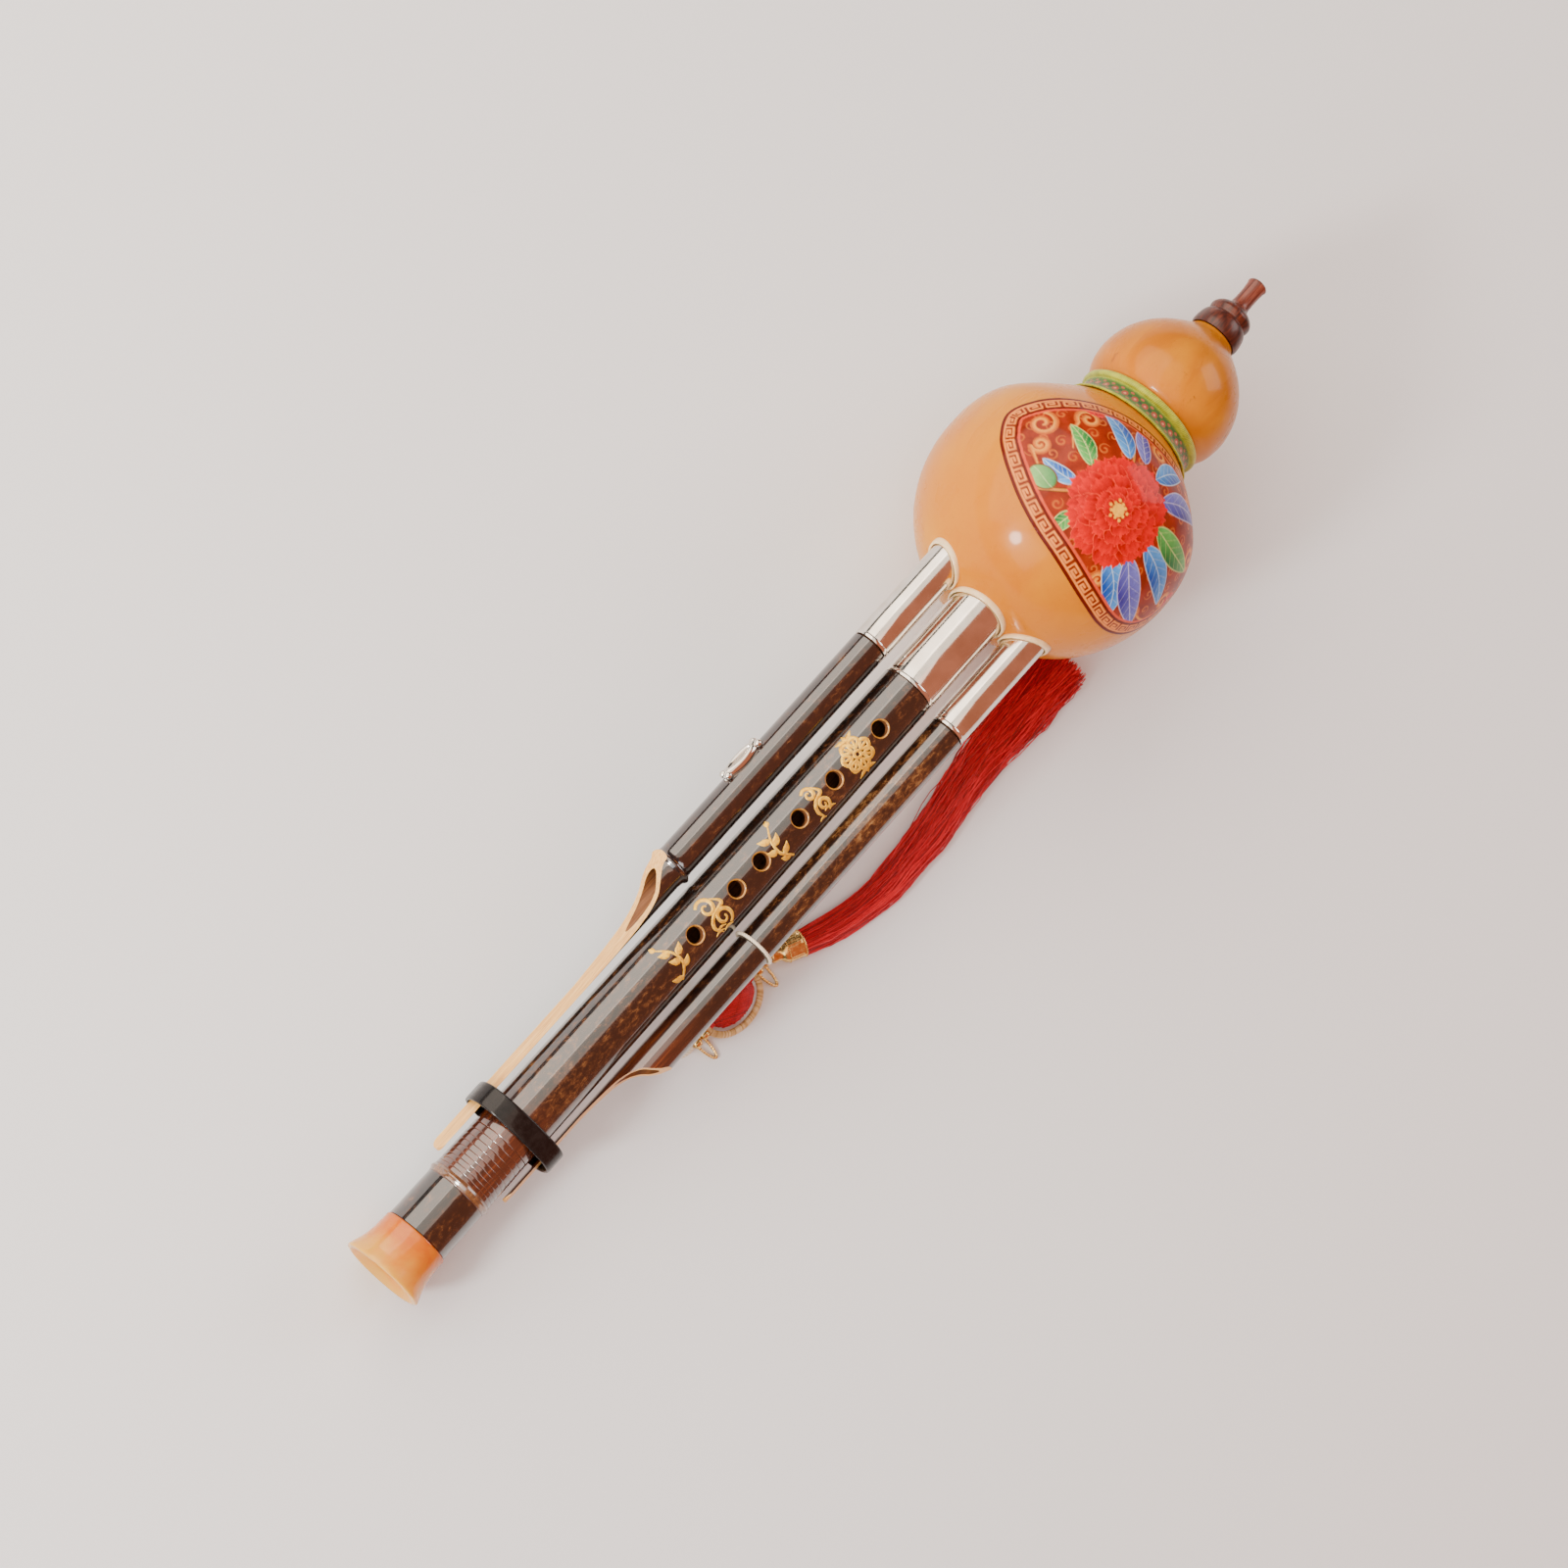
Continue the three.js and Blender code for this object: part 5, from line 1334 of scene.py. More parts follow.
def makeMainPipe():
    p = mainPipe
    outer = splineThrough(p["body"], 8)
    shifts = p["lineHalf"] * np.array([-1, -0.5, 0, 0.5, 1])
    marks = sorted({round(float(r + d), 3) for r in p["rings"] for d in shifts})
    grid = sorted({round(float(v), 3) for v in np.concatenate([outer[:, 0], np.arange(16, 244, 1.6), marks])})
    grid = [v for v in grid if v <= p["body"][-1][0]]
    line = np.stack([grid, np.interp(grid, outer[:, 0], outer[:, 1])], -1)
    for r in p["rings"]:
        line[:, 1] -= p["lineDepth"] * np.clip(1 - np.abs(line[:, 0] - r) / p["lineHalf"], 0, 1)
    footAt, footRadius = p["foot"]
    tenonTo, tenonRadius = p["tenon"]
    low, high, depth = p["groove"]
    outline = [(footAt, p["bore"] + 0.1), (footAt, footRadius - 0.2), (footAt + 0.2, footRadius),
               (15.7, footRadius), (15.75, 10.5)] + line.tolist()
    outline += [p["shoulder"], (p["shoulder"][0], tenonRadius), (low, tenonRadius),
                (low, tenonRadius - depth), (high, tenonRadius - depth), (high, tenonRadius),
                (tenonTo - 0.3, tenonRadius), (tenonTo, tenonRadius - 0.3), (tenonTo, p["bore"] + 0.1)]
    outline += [(v, p["bore"]) for v in np.linspace(tenonTo - 0.1, footAt + 0.1, 40)]
    start, stop = 4, 5 + len(line)

    def slots(i, points):
        if not start <= i < stop:
            return 1
        middle = points[min(i, len(points) - 1)][0] + 0.06
        return 3 if min(abs(middle - r) for r in p["rings"]) < 0.1 else 0

    finishes = [mainBamboo, boreBamboo, holeRim, turnedLine]
    piece = turned("mainPipeBody", outline, p["sides"], toWorld, finishes, slots, closed=True)
    cutters = [holeCutter(f"fingerDrill{k}", at, p["holeRadius"], p["rimRadius"], 1)
               for k, at in enumerate(p["holes"])]
    cutters.append(holeCutter("thumbDrill", p["thumbAt"], p["thumbRadius"], p["thumbRim"], -1))
    cut(piece, joined("pipeDrills", cutters))
    crisp(piece, 38)
    settle(piece, "main_pipe", "dark_bamboo", "main_pipe")


def makeBell():
    bell = {"outline": [(0, 12.5), (0, 13.2), (0.25, 13.65), (0.7, 13.8), (2.0, 13.35), (4.5, 12.45),
                        (7.2, 11.75), (10, 11.4), (12.8, 11.22), (15.2, 11.2), (15.5, 11.0), (15.5, 9.3),
                        (6, 9.3), (6, 7.3), (4.2, 8.2), (2.2, 9.9), (0.6, 11.8)],
            "sides": 128}

    def ripple(along, angles):
        share = math.exp(-max(along, 0) / 1.6)
        waves = ((0.10, 5, 0.6), (0.07, 9, 2.0), (0.05, 14, 0.0))
        return share * sum(high * np.sin(count * angles + start) for high, count, start in waves)

    outline = np.concatenate([evenly(bell["outline"][:10], 0.4), bell["outline"][10:14],
                              evenly(bell["outline"][13:], 0.5)[1:]])
    piece = turned("bellFoot", outline, bell["sides"], toWorld, [amber], closed=True, ripple=ripple)
    crisp(piece, 40)
    onFloor(piece)
    settle(piece, "main_pipe", "amber", "bell_foot")


drones = {
    "left": {"turn": 1, "end": 39.2, "shoulder": 246.5, "scoopTop": 154.0, "scoop": 49.0, "bulge": 151.8},
    "right": {"turn": -1, "end": 41.9, "shoulder": 244.3, "scoopTop": 107.5, "scoop": 31.0, "bulge": None},
    "radius": 6.0, "bore": 3.7, "tenon": 5.0, "tenonLength": 28.0, "lean": math.radians(17.5), "sides": 112,
    # the groove for the thread: where it begins and ends before the tenon's tip, and its depth
    "groove": (18.7, 5.4, 0.6),
    "along": [0, 0.05, 0.12, 0.185, 0.25, 0.31, 0.375, 0.5, 0.62, 0.76, 1],
    "depth": [-0.1, 0.06, 0.19, 0.36, 0.57, 0.69, 0.78, 0.88, 0.925, 0.96, 1], "across": 10.8,
    "tongueEnd": 3.6,
    "bulgeShape": [(-2.2, 0.0), (-1.5, 0.25), (-0.8, 0.8), (-0.3, 1.12), (0, 1.2), (0.3, 1.12), (0.8, 0.75),
                   (1.4, 0.25), (2.2, 0.0)],
}


def makeDrone(name, bamboo):
    d, own = drones, drones[name]
    radius, bore, end, shoulder = d["radius"], d["bore"], own["end"], own["shoulder"]
    tenonTo = shoulder + d["tenonLength"]
    fromEnd, toEnd, depth = d["groove"]
    low, high = tenonTo - fromEnd, tenonTo - toEnd
    skin = [(v, radius) for v in np.linspace(end + 0.15, shoulder - 0.3, 130)]
    if own["bulge"]:
        skin += [(own["bulge"] + v, radius + h) for v, h in d["bulgeShape"]]
        skin = sorted(s for s in skin if s[1] > radius or abs(s[0] - own["bulge"]) >= 2.2)
    tenon = d["tenon"]
    outline = [(end, bore + 0.05), (end, radius - 0.15)] + skin
    start, stop = 1, len(outline) + 1
    outline += [(shoulder, radius - 0.3), (shoulder, tenon), (low, tenon), (low, tenon - depth),
                (high, tenon - depth), (high, tenon), (tenonTo - 0.3, tenon), (tenonTo, tenon - 0.3),
                (tenonTo, bore + 0.05)]
    outline += [(v, bore) for v in np.linspace(tenonTo - 0.1, end + 0.1, 60)]
    piece = turned(f"{name}DroneBody", outline, d["sides"], besidePipe(name),
                   [bamboo, boreBamboo, cutBamboo], lambda i, line: 0 if start <= i < stop else 1,
                   closed=True)
    up = np.array([0, own["turn"] * math.cos(d["lean"]), math.sin(d["lean"])])
    aside = np.cross((1, 0, 0), up)

    def prism(label, polygon, axisA, axisB, reach):
        flat = np.asarray(polygon, float)
        rings = [[np.array([x, pipeSides[name], 0]) + a * axisA + s * reach * axisB for x, a in flat]
                 for s in (-1, 1)]
        return sweep(label, toWorld(np.array(rings)), [cutBamboo])

    curve = splineThrough([(own["scoopTop"] - a * own["scoop"], radius - w * d["across"])
                           for a, w in zip(d["along"], d["depth"])], 5)
    floorAt = radius - d["across"]
    polygon = curve.tolist() + [(end - 4, floorAt), (end - 4, 12), (own["scoopTop"] + 0.8, 12)]
    cut(piece, prism(f"{name}Scoop", polygon, up, aside, 14))
    r = d["tongueEnd"]
    arc = [(end + r - r * math.cos(t), r * math.sin(t)) for t in np.linspace(-math.pi / 2, math.pi / 2, 25)]
    polygon = [(end - 5, -13), (end + r, -13)] + arc + [(end + r, 13), (end - 5, 13)]
    cut(piece, prism(f"{name}TongueEnd", polygon, aside, up, 14))
    if name == "left":
        x, z = (escutcheon["toneHole"] * way(roundTurn(48)) for way in (np.cos, np.sin))
        rings = [np.stack([escutcheon["at"] + x, np.full(48, y), z], -1) for y in (1.0, 9.0)]
        cut(piece, sweep("toneDrill", escutcheonPlace(np.array(rings)), [boreBamboo]))
    crisp(piece, 36)
    settle(piece, f"{name}_drone", "dark_bamboo", f"{name}_drone")


escutcheon = {"at": 191.2, "halfLength": 8.5, "halfWidth": 3.1, "slotLength": 4.6, "slotWidth": 1.3,
              "seat": 6.05, "top": 8.35, "ballAt": 7.0, "ballSpread": 1.5, "ball": 1.3, "ballReach": 7.21,
              "steps": 120, "turn": math.radians(18), "toneHole": 1.6}


def escutcheonPlace(points):
    # drawn round the drone's own axis, and turned a little to the front
    p = np.asarray(points, float)
    c, s = math.cos(escutcheon["turn"]), math.sin(escutcheon["turn"])
    y, z = p[..., 1] * c - p[..., 2] * s, p[..., 1] * s + p[..., 2] * c
    return besidePipe("left")(np.stack([p[..., 0], y, z], -1))


def makeEscutcheon():
    e = escutcheon
    t = roundTurn(e["steps"])

    def almond(halfLength, halfWidth):
        x = np.cos(t)
        return halfLength * x, halfWidth * np.sign(np.sin(t)) * (1 - x**2) ** 0.85

    outX, outZ = almond(e["halfLength"], e["halfWidth"])
    inX, inZ = almond(e["slotLength"], e["slotWidth"])
    rise = e["top"] - e["seat"]
    profile = [(0.0, 0.0), (0.0, 0.62), (0.06, 0.82), (0.2, 0.96), (0.4, 1.0), (0.62, 0.93), (0.82, 0.72),
               (0.95, 0.42), (1.0, 0.22), (1.0, 0.0)]
    rings = []
    for share, height in profile:
        x, z = inX + (outX - inX) * share, inZ + (outZ - inZ) * share
        radius = e["seat"] + rise * height
        angle = z / (e["seat"] + 1)
        rings.append(np.stack([e["at"] + x, radius * np.cos(angle), radius * np.sin(angle)], -1))
    saddle = sweep("leftEscutcheonSaddle", escutcheonPlace(np.array(rings).transpose(1, 0, 2)), [nickel],
                   True)
    pieces = [saddle]
    for end in (-1, 1):
        for edge in (-1, 1):
            depth = math.sqrt(e["ballReach"] ** 2 - e["ballSpread"] ** 2)
            centre = (e["at"] + end * e["ballAt"], depth, edge * e["ballSpread"])

            def place(points, centre=centre):
                return escutcheonPlace(np.asarray(points, float) + centre)
            arc = [(-e["ball"] * math.cos(a), e["ball"] * math.sin(a)) for a in np.linspace(0, math.pi, 17)]
            arc[0], arc[-1] = (-e["ball"], 0.0), (e["ball"], 0.0)
            pieces.append(turned("leftEscutcheonBall", arc, 28, place, [nickel]))
    piece = joined("leftEscutcheon", pieces)
    crisp(piece, 60)
    settle(piece, "left_drone", "nickel", "left_escutcheon")


def makeBindingRing():
    ring = {"low": 56.6, "high": 63.7, "halfY": 15.8, "halfZ": 10.9, "wall": 1.0, "exponent": 2.6,
            "steps": 168}
    c, s = np.cos(roundTurn(ring["steps"])), np.sin(roundTurn(ring["steps"]))
    reach = (np.abs(c) ** ring["exponent"] + np.abs(s) ** ring["exponent"]) ** (-1 / ring["exponent"])
    low, top = ring["low"], ring["high"]
    profile = [(low + 0.35, 0.0), (low + 0.1, 0.08), (low, 0.3), (low, 0.6), (low + 0.12, 0.82),
               (low + 0.45, 0.95), (low + 1.4, 1.0), (top - 1.4, 1.0), (top - 0.45, 0.95), (top - 0.12, 0.82),
               (top, 0.6), (top, 0.3), (top - 0.1, 0.08), (top - 0.35, 0.0)]
    rings = []
    for x, h in profile:
        wide, high = ring["halfY"] + h * ring["wall"], ring["halfZ"] + h * ring["wall"]
        rings.append(np.stack([np.full_like(c, x), c * reach * wide, s * reach * high], -1))
    piece = sweep("bindingRing", toWorld(np.array(rings).transpose(1, 0, 2)), [blackRing], True)
    crisp(piece, 50)
    settle(piece, "binding_ring", "black_ring", "binding_ring")


def makeLappings():
    # where each lapping begins and ends along its pipe, its inner and outer radius, and its body
    wraps = {"main": (254.2, 267.2, 7.55, 8.05, "main_pipe"),
             "left": (255.8, 268.8, 4.55, 5.05, "left_drone"),
             "right": (253.6, 266.6, 4.55, 5.05, "right_drone")}
    for name, (low, high, inside, outside, body) in wraps.items():
        place = besidePipe(name)
        core = turned(f"{name}LappingCore", [(low, inside), (low, outside), (high, outside), (high, inside)],
                      64, place, [creamThread], closed=True)
        # the core under the turns gets a dark tone: painted shade between the turns
        paintThreadToneAndShade(core, 0.1)
        line = place([(low + 0.25, 0, 0), (high - 0.25, 0, 0)])
        wound = turns.run(f"{name}LappingTurns", line, Turns=27, **{
            "Loop Width": outside * mm, "Loop Height": outside * mm, "Thread Radius": 0.24 * mm,
            "Loop Steps": 48, "Sides": 6, "Lean": 0.03, "Finish": creamThread})
        for piece in (core, wound):
            settle(piece, body, "thread", f"{name}_lapping")


makeGourd()
print("gourd ready")
makeWaistBand()
makeMouthpiece()
makeCollars()
makeFerrules()
print("mouthpiece, band, collars and ferrules ready")
makeMainPipe()
makeBell()
print("melody pipe and foot ready")
makeDrone("left", leftBamboo)
makeDrone("right", rightBamboo)
makeEscutcheon()
makeBindingRing()
makeLappings()
print("drones, ring and lappings ready")


def dressKept():
    # the inner pieces that stay as the frame has them, and only get their finish here
    kept = {"mouthpiece_cork": cork, "main_reed_head": reedBamboo, "left_reed_head": reedBamboo,
            "right_reed_head": reedBamboo, "main_reed": brass, "left_reed": brass, "right_reed": brass}
    for node, material in kept.items():
        piece = bpy.data.objects[node]
        for slot in piece.material_slots:
            slot.link = "OBJECT"
            slot.material = material


dressKept()
print("kept parts dressed")


def shadeOf(color):
    return np.array(linear(*color)[:3])


def between(dark, light, share):
    return shadeOf(dark) * (1 - share) + shadeOf(light) * share


class Canvas:
    # Colours and relief painted by distance: each lay() covers the points where the distance is below zero.
    def __init__(self, x, y, ground):
        self.x, self.y = x, y
        self.color = np.tile(shadeOf(ground), (len(x), 1))
        self.height = np.zeros(len(x))

    def lay(self, distance, color, rise=0.0, soft=0.22, share=1.0):
        cover = np.clip(0.5 - distance / soft, 0, 1) * share
        paint = shadeOf(color) if len(color) == 3 else color
        self.color = self.color * (1 - cover[:, None]) + paint * cover[:, None]
        self.height = self.height * (1 - cover) + (self.height + rise) * cover

    def fromLine(self, points, widths=None):
        # Distance to a line whose half width may change on its way.
        p = np.asarray(points, float)
        w = np.zeros(len(p)) if widths is None else np.broadcast_to(widths, (len(p),))
        best = np.full(len(self.x), 1e3)
        for (ax, ay), (bx, by), wa, wb in zip(p[:-1], p[1:], w[:-1], w[1:]):
            reach = max(wa, wb) + 1.0
            near = ((self.x > min(ax, bx) - reach) & (self.x < max(ax, bx) + reach)
                    & (self.y > min(ay, by) - reach) & (self.y < max(ay, by) + reach))
            if not near.any():
                continue
            x, y = self.x[near], self.y[near]
            dx, dy = bx - ax, by - ay
            t = np.clip(((x - ax) * dx + (y - ay) * dy) / max(dx * dx + dy * dy, 1e-9), 0, 1)
            far = np.hypot(x - ax - t * dx, y - ay - t * dy) - (wa + (wb - wa) * t)
            best[near] = np.minimum(best[near], far)
        return best

    def leaf(self, root, tip, halfWidth, dark, light, vein, bend=0.0):
        root, tip = np.asarray(root, float), np.asarray(tip, float)
        length = np.linalg.norm(tip - root)
        along = (tip - root) / length
        side = np.array([-along[1], along[0]])
        t = ((self.x - root[0]) * along[0] + (self.y - root[1]) * along[1]) / length
        bow = bend * np.sin(np.clip(t, 0, 1) * math.pi)
        s = (self.x - root[0]) * side[0] + (self.y - root[1]) * side[1] - bow
        half = halfWidth * np.sin(np.clip(t, 0, 1) ** 0.8 * math.pi) ** 0.75
        outside = np.where((t < 0) | (t > 1), np.maximum(-t, t - 1) * length + np.abs(s), np.abs(s) - half)
        mix = np.clip(0.5 + s / (2 * halfWidth) + 0.15 * np.sin(t * 9), 0, 1)[:, None]
        self.lay(outside - 0.28, vein, 0.25)
        self.lay(outside, between(dark, light, mix), 0.1)
        ribs = np.abs((t * 7 - np.abs(s) / halfWidth * 1.3) % 1 - 0.5) * length / 7
        self.lay(np.maximum(outside + 0.25, ribs - 0.13), vein, 0.1, 0.25, 0.5)
        self.lay(np.maximum(np.abs(s) - 0.13, np.maximum(outside, 0.05 - t)), vein, 0.15, 0.2)

    def petal(self, centre, angle, near, far, halfWidth, dark, light, rim, folds):
        # one petal of a full flower, broad and notched at its outer end
        c, s = math.cos(angle), math.sin(angle)
        dx, dy = self.x - centre[0], self.y - centre[1]
        u = (dx * c + dy * s - near) / (far - near)
        v = (-dx * s + dy * c) / halfWidth
        w = np.clip(v, -1, 1)
        notch = 0.05 * np.cos(3 * math.pi * w) + 0.03 * np.cos(7 * math.pi * w)
        t = np.clip(u - notch, 0, 1.2)
        opening = 0.42 + 0.58 * np.sin(t / 0.62 * math.pi / 2)
        half = np.where(t < 0.62, opening, np.sqrt(np.clip(1 - ((t - 0.62) / 0.38) ** 2, 0, 1)))
        sides, ends = (np.abs(v) - half) * halfWidth * 0.8, np.maximum(-u, u - notch - 1) * (far - near)
        outside = np.maximum(sides, ends)
        fold = 0.5 + 0.5 * np.cos(folds * v * math.pi)
        mix = np.clip(t**1.5 * 0.95 + 0.22 * (fold - 0.6) - 0.25 * np.abs(v) ** 3, 0, 1)[:, None]
        self.lay(outside - 0.24, rim, 0.3)
        self.lay(outside, between(dark, light, mix), 0.15)

    def flower(self, centre, radius, rings, dark, light, rim, heart, seed):
        rng = np.random.default_rng(seed)
        for count, near, far, wide in rings:
            first = rng.uniform(0, 6.28)
            for k in range(count):
                reach = rng.uniform(0.94, 1.06)
                angle = first + 2 * math.pi * (k + rng.uniform(-0.1, 0.1)) / count
                self.petal(centre, angle, radius * near, radius * far * reach, radius * wide, dark, light,
                           rim, rng.integers(3, 6))
        dx, dy = self.x - centre[0], self.y - centre[1]
        self.lay(np.hypot(dx, dy) - radius * 0.12, heart, 0.2)
        for k in range(11):
            a, r = k * 2 * math.pi / 11, radius * (0.18 if k % 2 else 0.14)
            self.lay(np.hypot(dx - r * math.cos(a), dy - r * math.sin(a)) - radius * 0.03, heart, 0.3)

    def scroll(self, start, turnTo, size, width, color, hand=1, sweepTurns=1.35, tail=()):
        # A cloud scroll: a spiral that opens into its tail.
        a = np.linspace(0, sweepTurns * 2 * math.pi, 46)
        r = size * (0.16 + 0.84 * a / a[-1])
        angle = turnTo + hand * (a - a[-1])
        line = np.stack([start[0] + r * np.cos(angle), start[1] + r * np.sin(angle)], -1)
        if len(tail):
            bend = splineThrough(np.concatenate([line[-1:], np.asarray(tail, float)]), 8)
            line = np.concatenate([line, bend[1:]])
        widths = width * np.interp(np.linspace(0, 1, len(line)), [0, 0.12, 0.6, 1], [0.55, 1, 1, 0.3])
        self.lay(self.fromLine(line, widths), color, 0.3)


medallion = {
    "latitude": math.radians(6), "longitude": math.radians(-4), "ball": 44.6, "grid": 308, "above": 0.15,
    "below": 0.25, "middle": (0.0, -8.0), "cells": 42,
    # the egg's edge, along the gourd and round it from the middle, in millimetres
    "edge": [(1.7, 48.2), (-9.1, 44.3), (-15.2, 38.6), (-19.9, 32.4), (-24, 25.6), (-27, 18.8), (-29.1, 12),
             (-30.6, 4), (-31.9, -4), (-32.9, -12), (-33.3, -20), (-33, -29), (-30.6, -38), (-24.5, -47),
             (-14, -53.6), (0, -56), (13.5, -53), (23.5, -46), (29.8, -37), (32.9, -28), (33.9, -19),
             (33.8, -10), (33, -1), (31.6, 8), (29, 17), (24.8, 25.2), (19, 33), (11.2, 42.2)],
    # widths of the border's bands from the outer edge inwards
    "border": (0.95, 5.2, 6.0, 6.9),
    "skirtReach": 1.004, "skirtColor": (112, 22, 6),
}


def paintMedallion(x, y, inside, gone, whole):
    m = medallion
    c = Canvas(x, y, (144, 40, 10))
    ground = 0.5 + 0.5 * np.sin(0.55 * x + 1.3 * np.sin(0.32 * y)) * np.cos(0.5 * y + np.sin(0.41 * x))
    c.color = c.color * (0.72 + 0.5 * ground)[:, None]
    rng = np.random.default_rng(5)
    gold, dimGold, paleGold = (226, 132, 40), (196, 92, 24), (240, 166, 66)
    # brocade of little cloud curls behind everything
    for gx in np.arange(-30, 31, 6.0):
        for gy in np.arange(-52, 46, 6.0):
            at = (gx + (3 if int(round(gy / 6)) % 2 else 0) + rng.uniform(-0.4, 0.4),
                  gy + rng.uniform(-0.4, 0.4))
            c.scroll(at, rng.uniform(0, 6.28), 2.1, 0.32, dimGold, rng.choice((-1, 1)), 1.2)
    for at, to, size, hand, tail in (
        ((2.5, 35), 0.4, 4.8, 1, [(12, 33), (17, 27)]), ((-5, 31), 2.4, 3.0, -1, [(-11, 28), (-14, 24)]),
        ((13, 23.5), 2.6, 4.0, 1, [(5, 25), (0, 22)]), ((24, -3), 0.2, 3.6, -1, [(26, -10), (25, -16)]),
        ((22.5, -24), 0.9, 4.0, 1, [(27, -30), (24, -36)]),
        ((-25, -14), 3.6, 2.8, 1, [(-27, -21), (-26, -26)]), ((-6, -45), 3.9, 4.2, -1, [(2, -49), (9, -49)]),
        ((12, -39), 5.4, 4.8, 1, [(19, -38), (24, -37)]), ((-21, -37), 1.2, 3.2, 1, [(-17, -44), (-12, -47)]),
    ):
        c.scroll(at, to, size + 0.45, 0.95, dimGold, hand, 1.4, tail)
        c.scroll(at, to, size, 0.62, gold, hand, 1.4, tail)
        c.scroll(at, to, size - 0.3, 0.2, paleGold, hand, 1.4, tail)
    stem = splineThrough([(-18, 22), (-13, 15), (-6, 8), (4, 4), (13, 6), (19, 14), (19, 24)], 10)
    c.lay(c.fromLine(stem, 0.8), (104, 44, 14), 0.2)
    c.lay(c.fromLine(stem, 0.45), (214, 132, 48), 0.2)
    blues = ((22, 74, 176), (88, 164, 240), (196, 226, 250))
    violets = ((60, 52, 150), (120, 124, 214), (206, 204, 240))
    greens = ((24, 112, 52), (104, 190, 92), (216, 232, 140))
    for root, tip, half, tones, bend in (
        ((10, 6), (22, 21), 3.6, blues, -1.4), ((13, 1), (29, 7), 3.0, violets, 0.8),
        ((-16, 8), (-27, 9), 2.4, greens, -0.6), ((-18, -10), (-30, -30), 4.2, blues, 1.8),
        ((-13, -15), (-22, -42), 4.4, violets, -1.6), ((-6, -17), (-9, -43), 4.2, blues, 1.4),
        ((1, -16), (8, -42), 4.2, greens, -1.4), ((8, -11), (23, -33), 4.0, violets, 1.6),
        ((12, -5), (30, -17), 3.6, blues, 1.2), ((-9, 14), (-9, 27), 2.4, blues, 0.8),
        ((-1, 14), (7, 27), 2.8, greens, -0.9),
    ):
        c.leaf(root, tip, half, *tones, bend)
    red, bright, rim, heart = (150, 0, 0), (240, 0, 0), (246, 52, 24), (255, 190, 50)
    # each ring of petals: their number, where they begin and end, and their width
    full = ((10, 0.45, 1.0, 0.31), (9, 0.34, 0.82, 0.28), (8, 0.24, 0.63, 0.24), (6, 0.14, 0.45, 0.2),
            (5, 0.06, 0.29, 0.15))
    c.flower((-6.0, -1.5), 17.5, full, red, bright, rim, heart, 3)
    small = ((7, 0.3, 1.0, 0.42), (5, 0.15, 0.62, 0.34))
    c.flower((20.0, 24.5), 4.4, small, red, bright, rim, heart, 4)
    c.flower((24.0, -41.0), 4.4, small, (200, 60, 60), (255, 150, 130), (255, 214, 196), heart, 6)
    c.flower((-2.0, -49.0), 3.6, small, red, bright, rim, heart, 8)
    # a round green bud on the left
    x0, y0, a, b = -14.0, 23.5, 3.5, 4.7
    ball = (np.hypot((x - x0) / a, (y - y0) / b) - 1) * a
    shade = np.clip(0.55 + (y - y0 - (x - x0)) / (2.6 * b), 0, 1)[:, None]
    c.lay(ball - 0.4, (120, 56, 24), 0.2)
    c.lay(ball, between((46, 130, 70), (150, 206, 120), shade), 0.4, 0.3)
    vein = np.abs((x - x0) / a * 1.6 - 0.5 * np.sin((y - y0) / b * 1.5)) * a / 1.6 - 0.12
    c.lay(np.maximum(vein, ball), (206, 232, 160), 0.1, 0.3, 0.7)
    # two near-white streaks near the right edge, drawn with the leaf stroke: painted highlights, glints of a
    # window on the lacquer
    for x0, y0, lean in ((27.6, -6, 0.1), (25.4, 17, 0.5)):
        c.leaf((x0, y0), (x0 - 2 * math.sin(lean), y0 + 6), 1.0, (255, 190, 170), (255, 232, 220),
               (230, 120, 96))

    outer, band, line, rose = m["border"]
    dark, tan = (96, 18, 4), (240, 142, 62)
    c.lay(inside - rose, (222, 78, 46), 0.3, 0.2)
    c.lay(inside - line, dark, -0.2, 0.2)
    c.lay(inside - band, (124, 40, 12), 0.2, 0.2)
    width = whole / m["cells"]
    u, v, deep = gone % width, band - inside, band - outer
    key = Canvas(u, v, (0, 0, 0))
    path = [(0.0, 0.86), (0.12, 0.86), (0.12, 0.14), (0.84, 0.14), (0.84, 0.66), (0.36, 0.66), (0.36, 0.42),
            (0.60, 0.42)]
    drawn = [(a * width, b * deep) for a, b in path]
    rail = [(0.12 * width, 0.86 * deep), (width, 0.86 * deep)]
    reach = np.minimum(key.fromLine(drawn, 0.36), key.fromLine(rail, 0.36))
    c.lay(np.maximum(reach, np.abs(v - deep / 2) - deep / 2), tan, 0.45, 0.22)
    c.lay(inside - outer, dark, 0.0, 0.2)
    return c


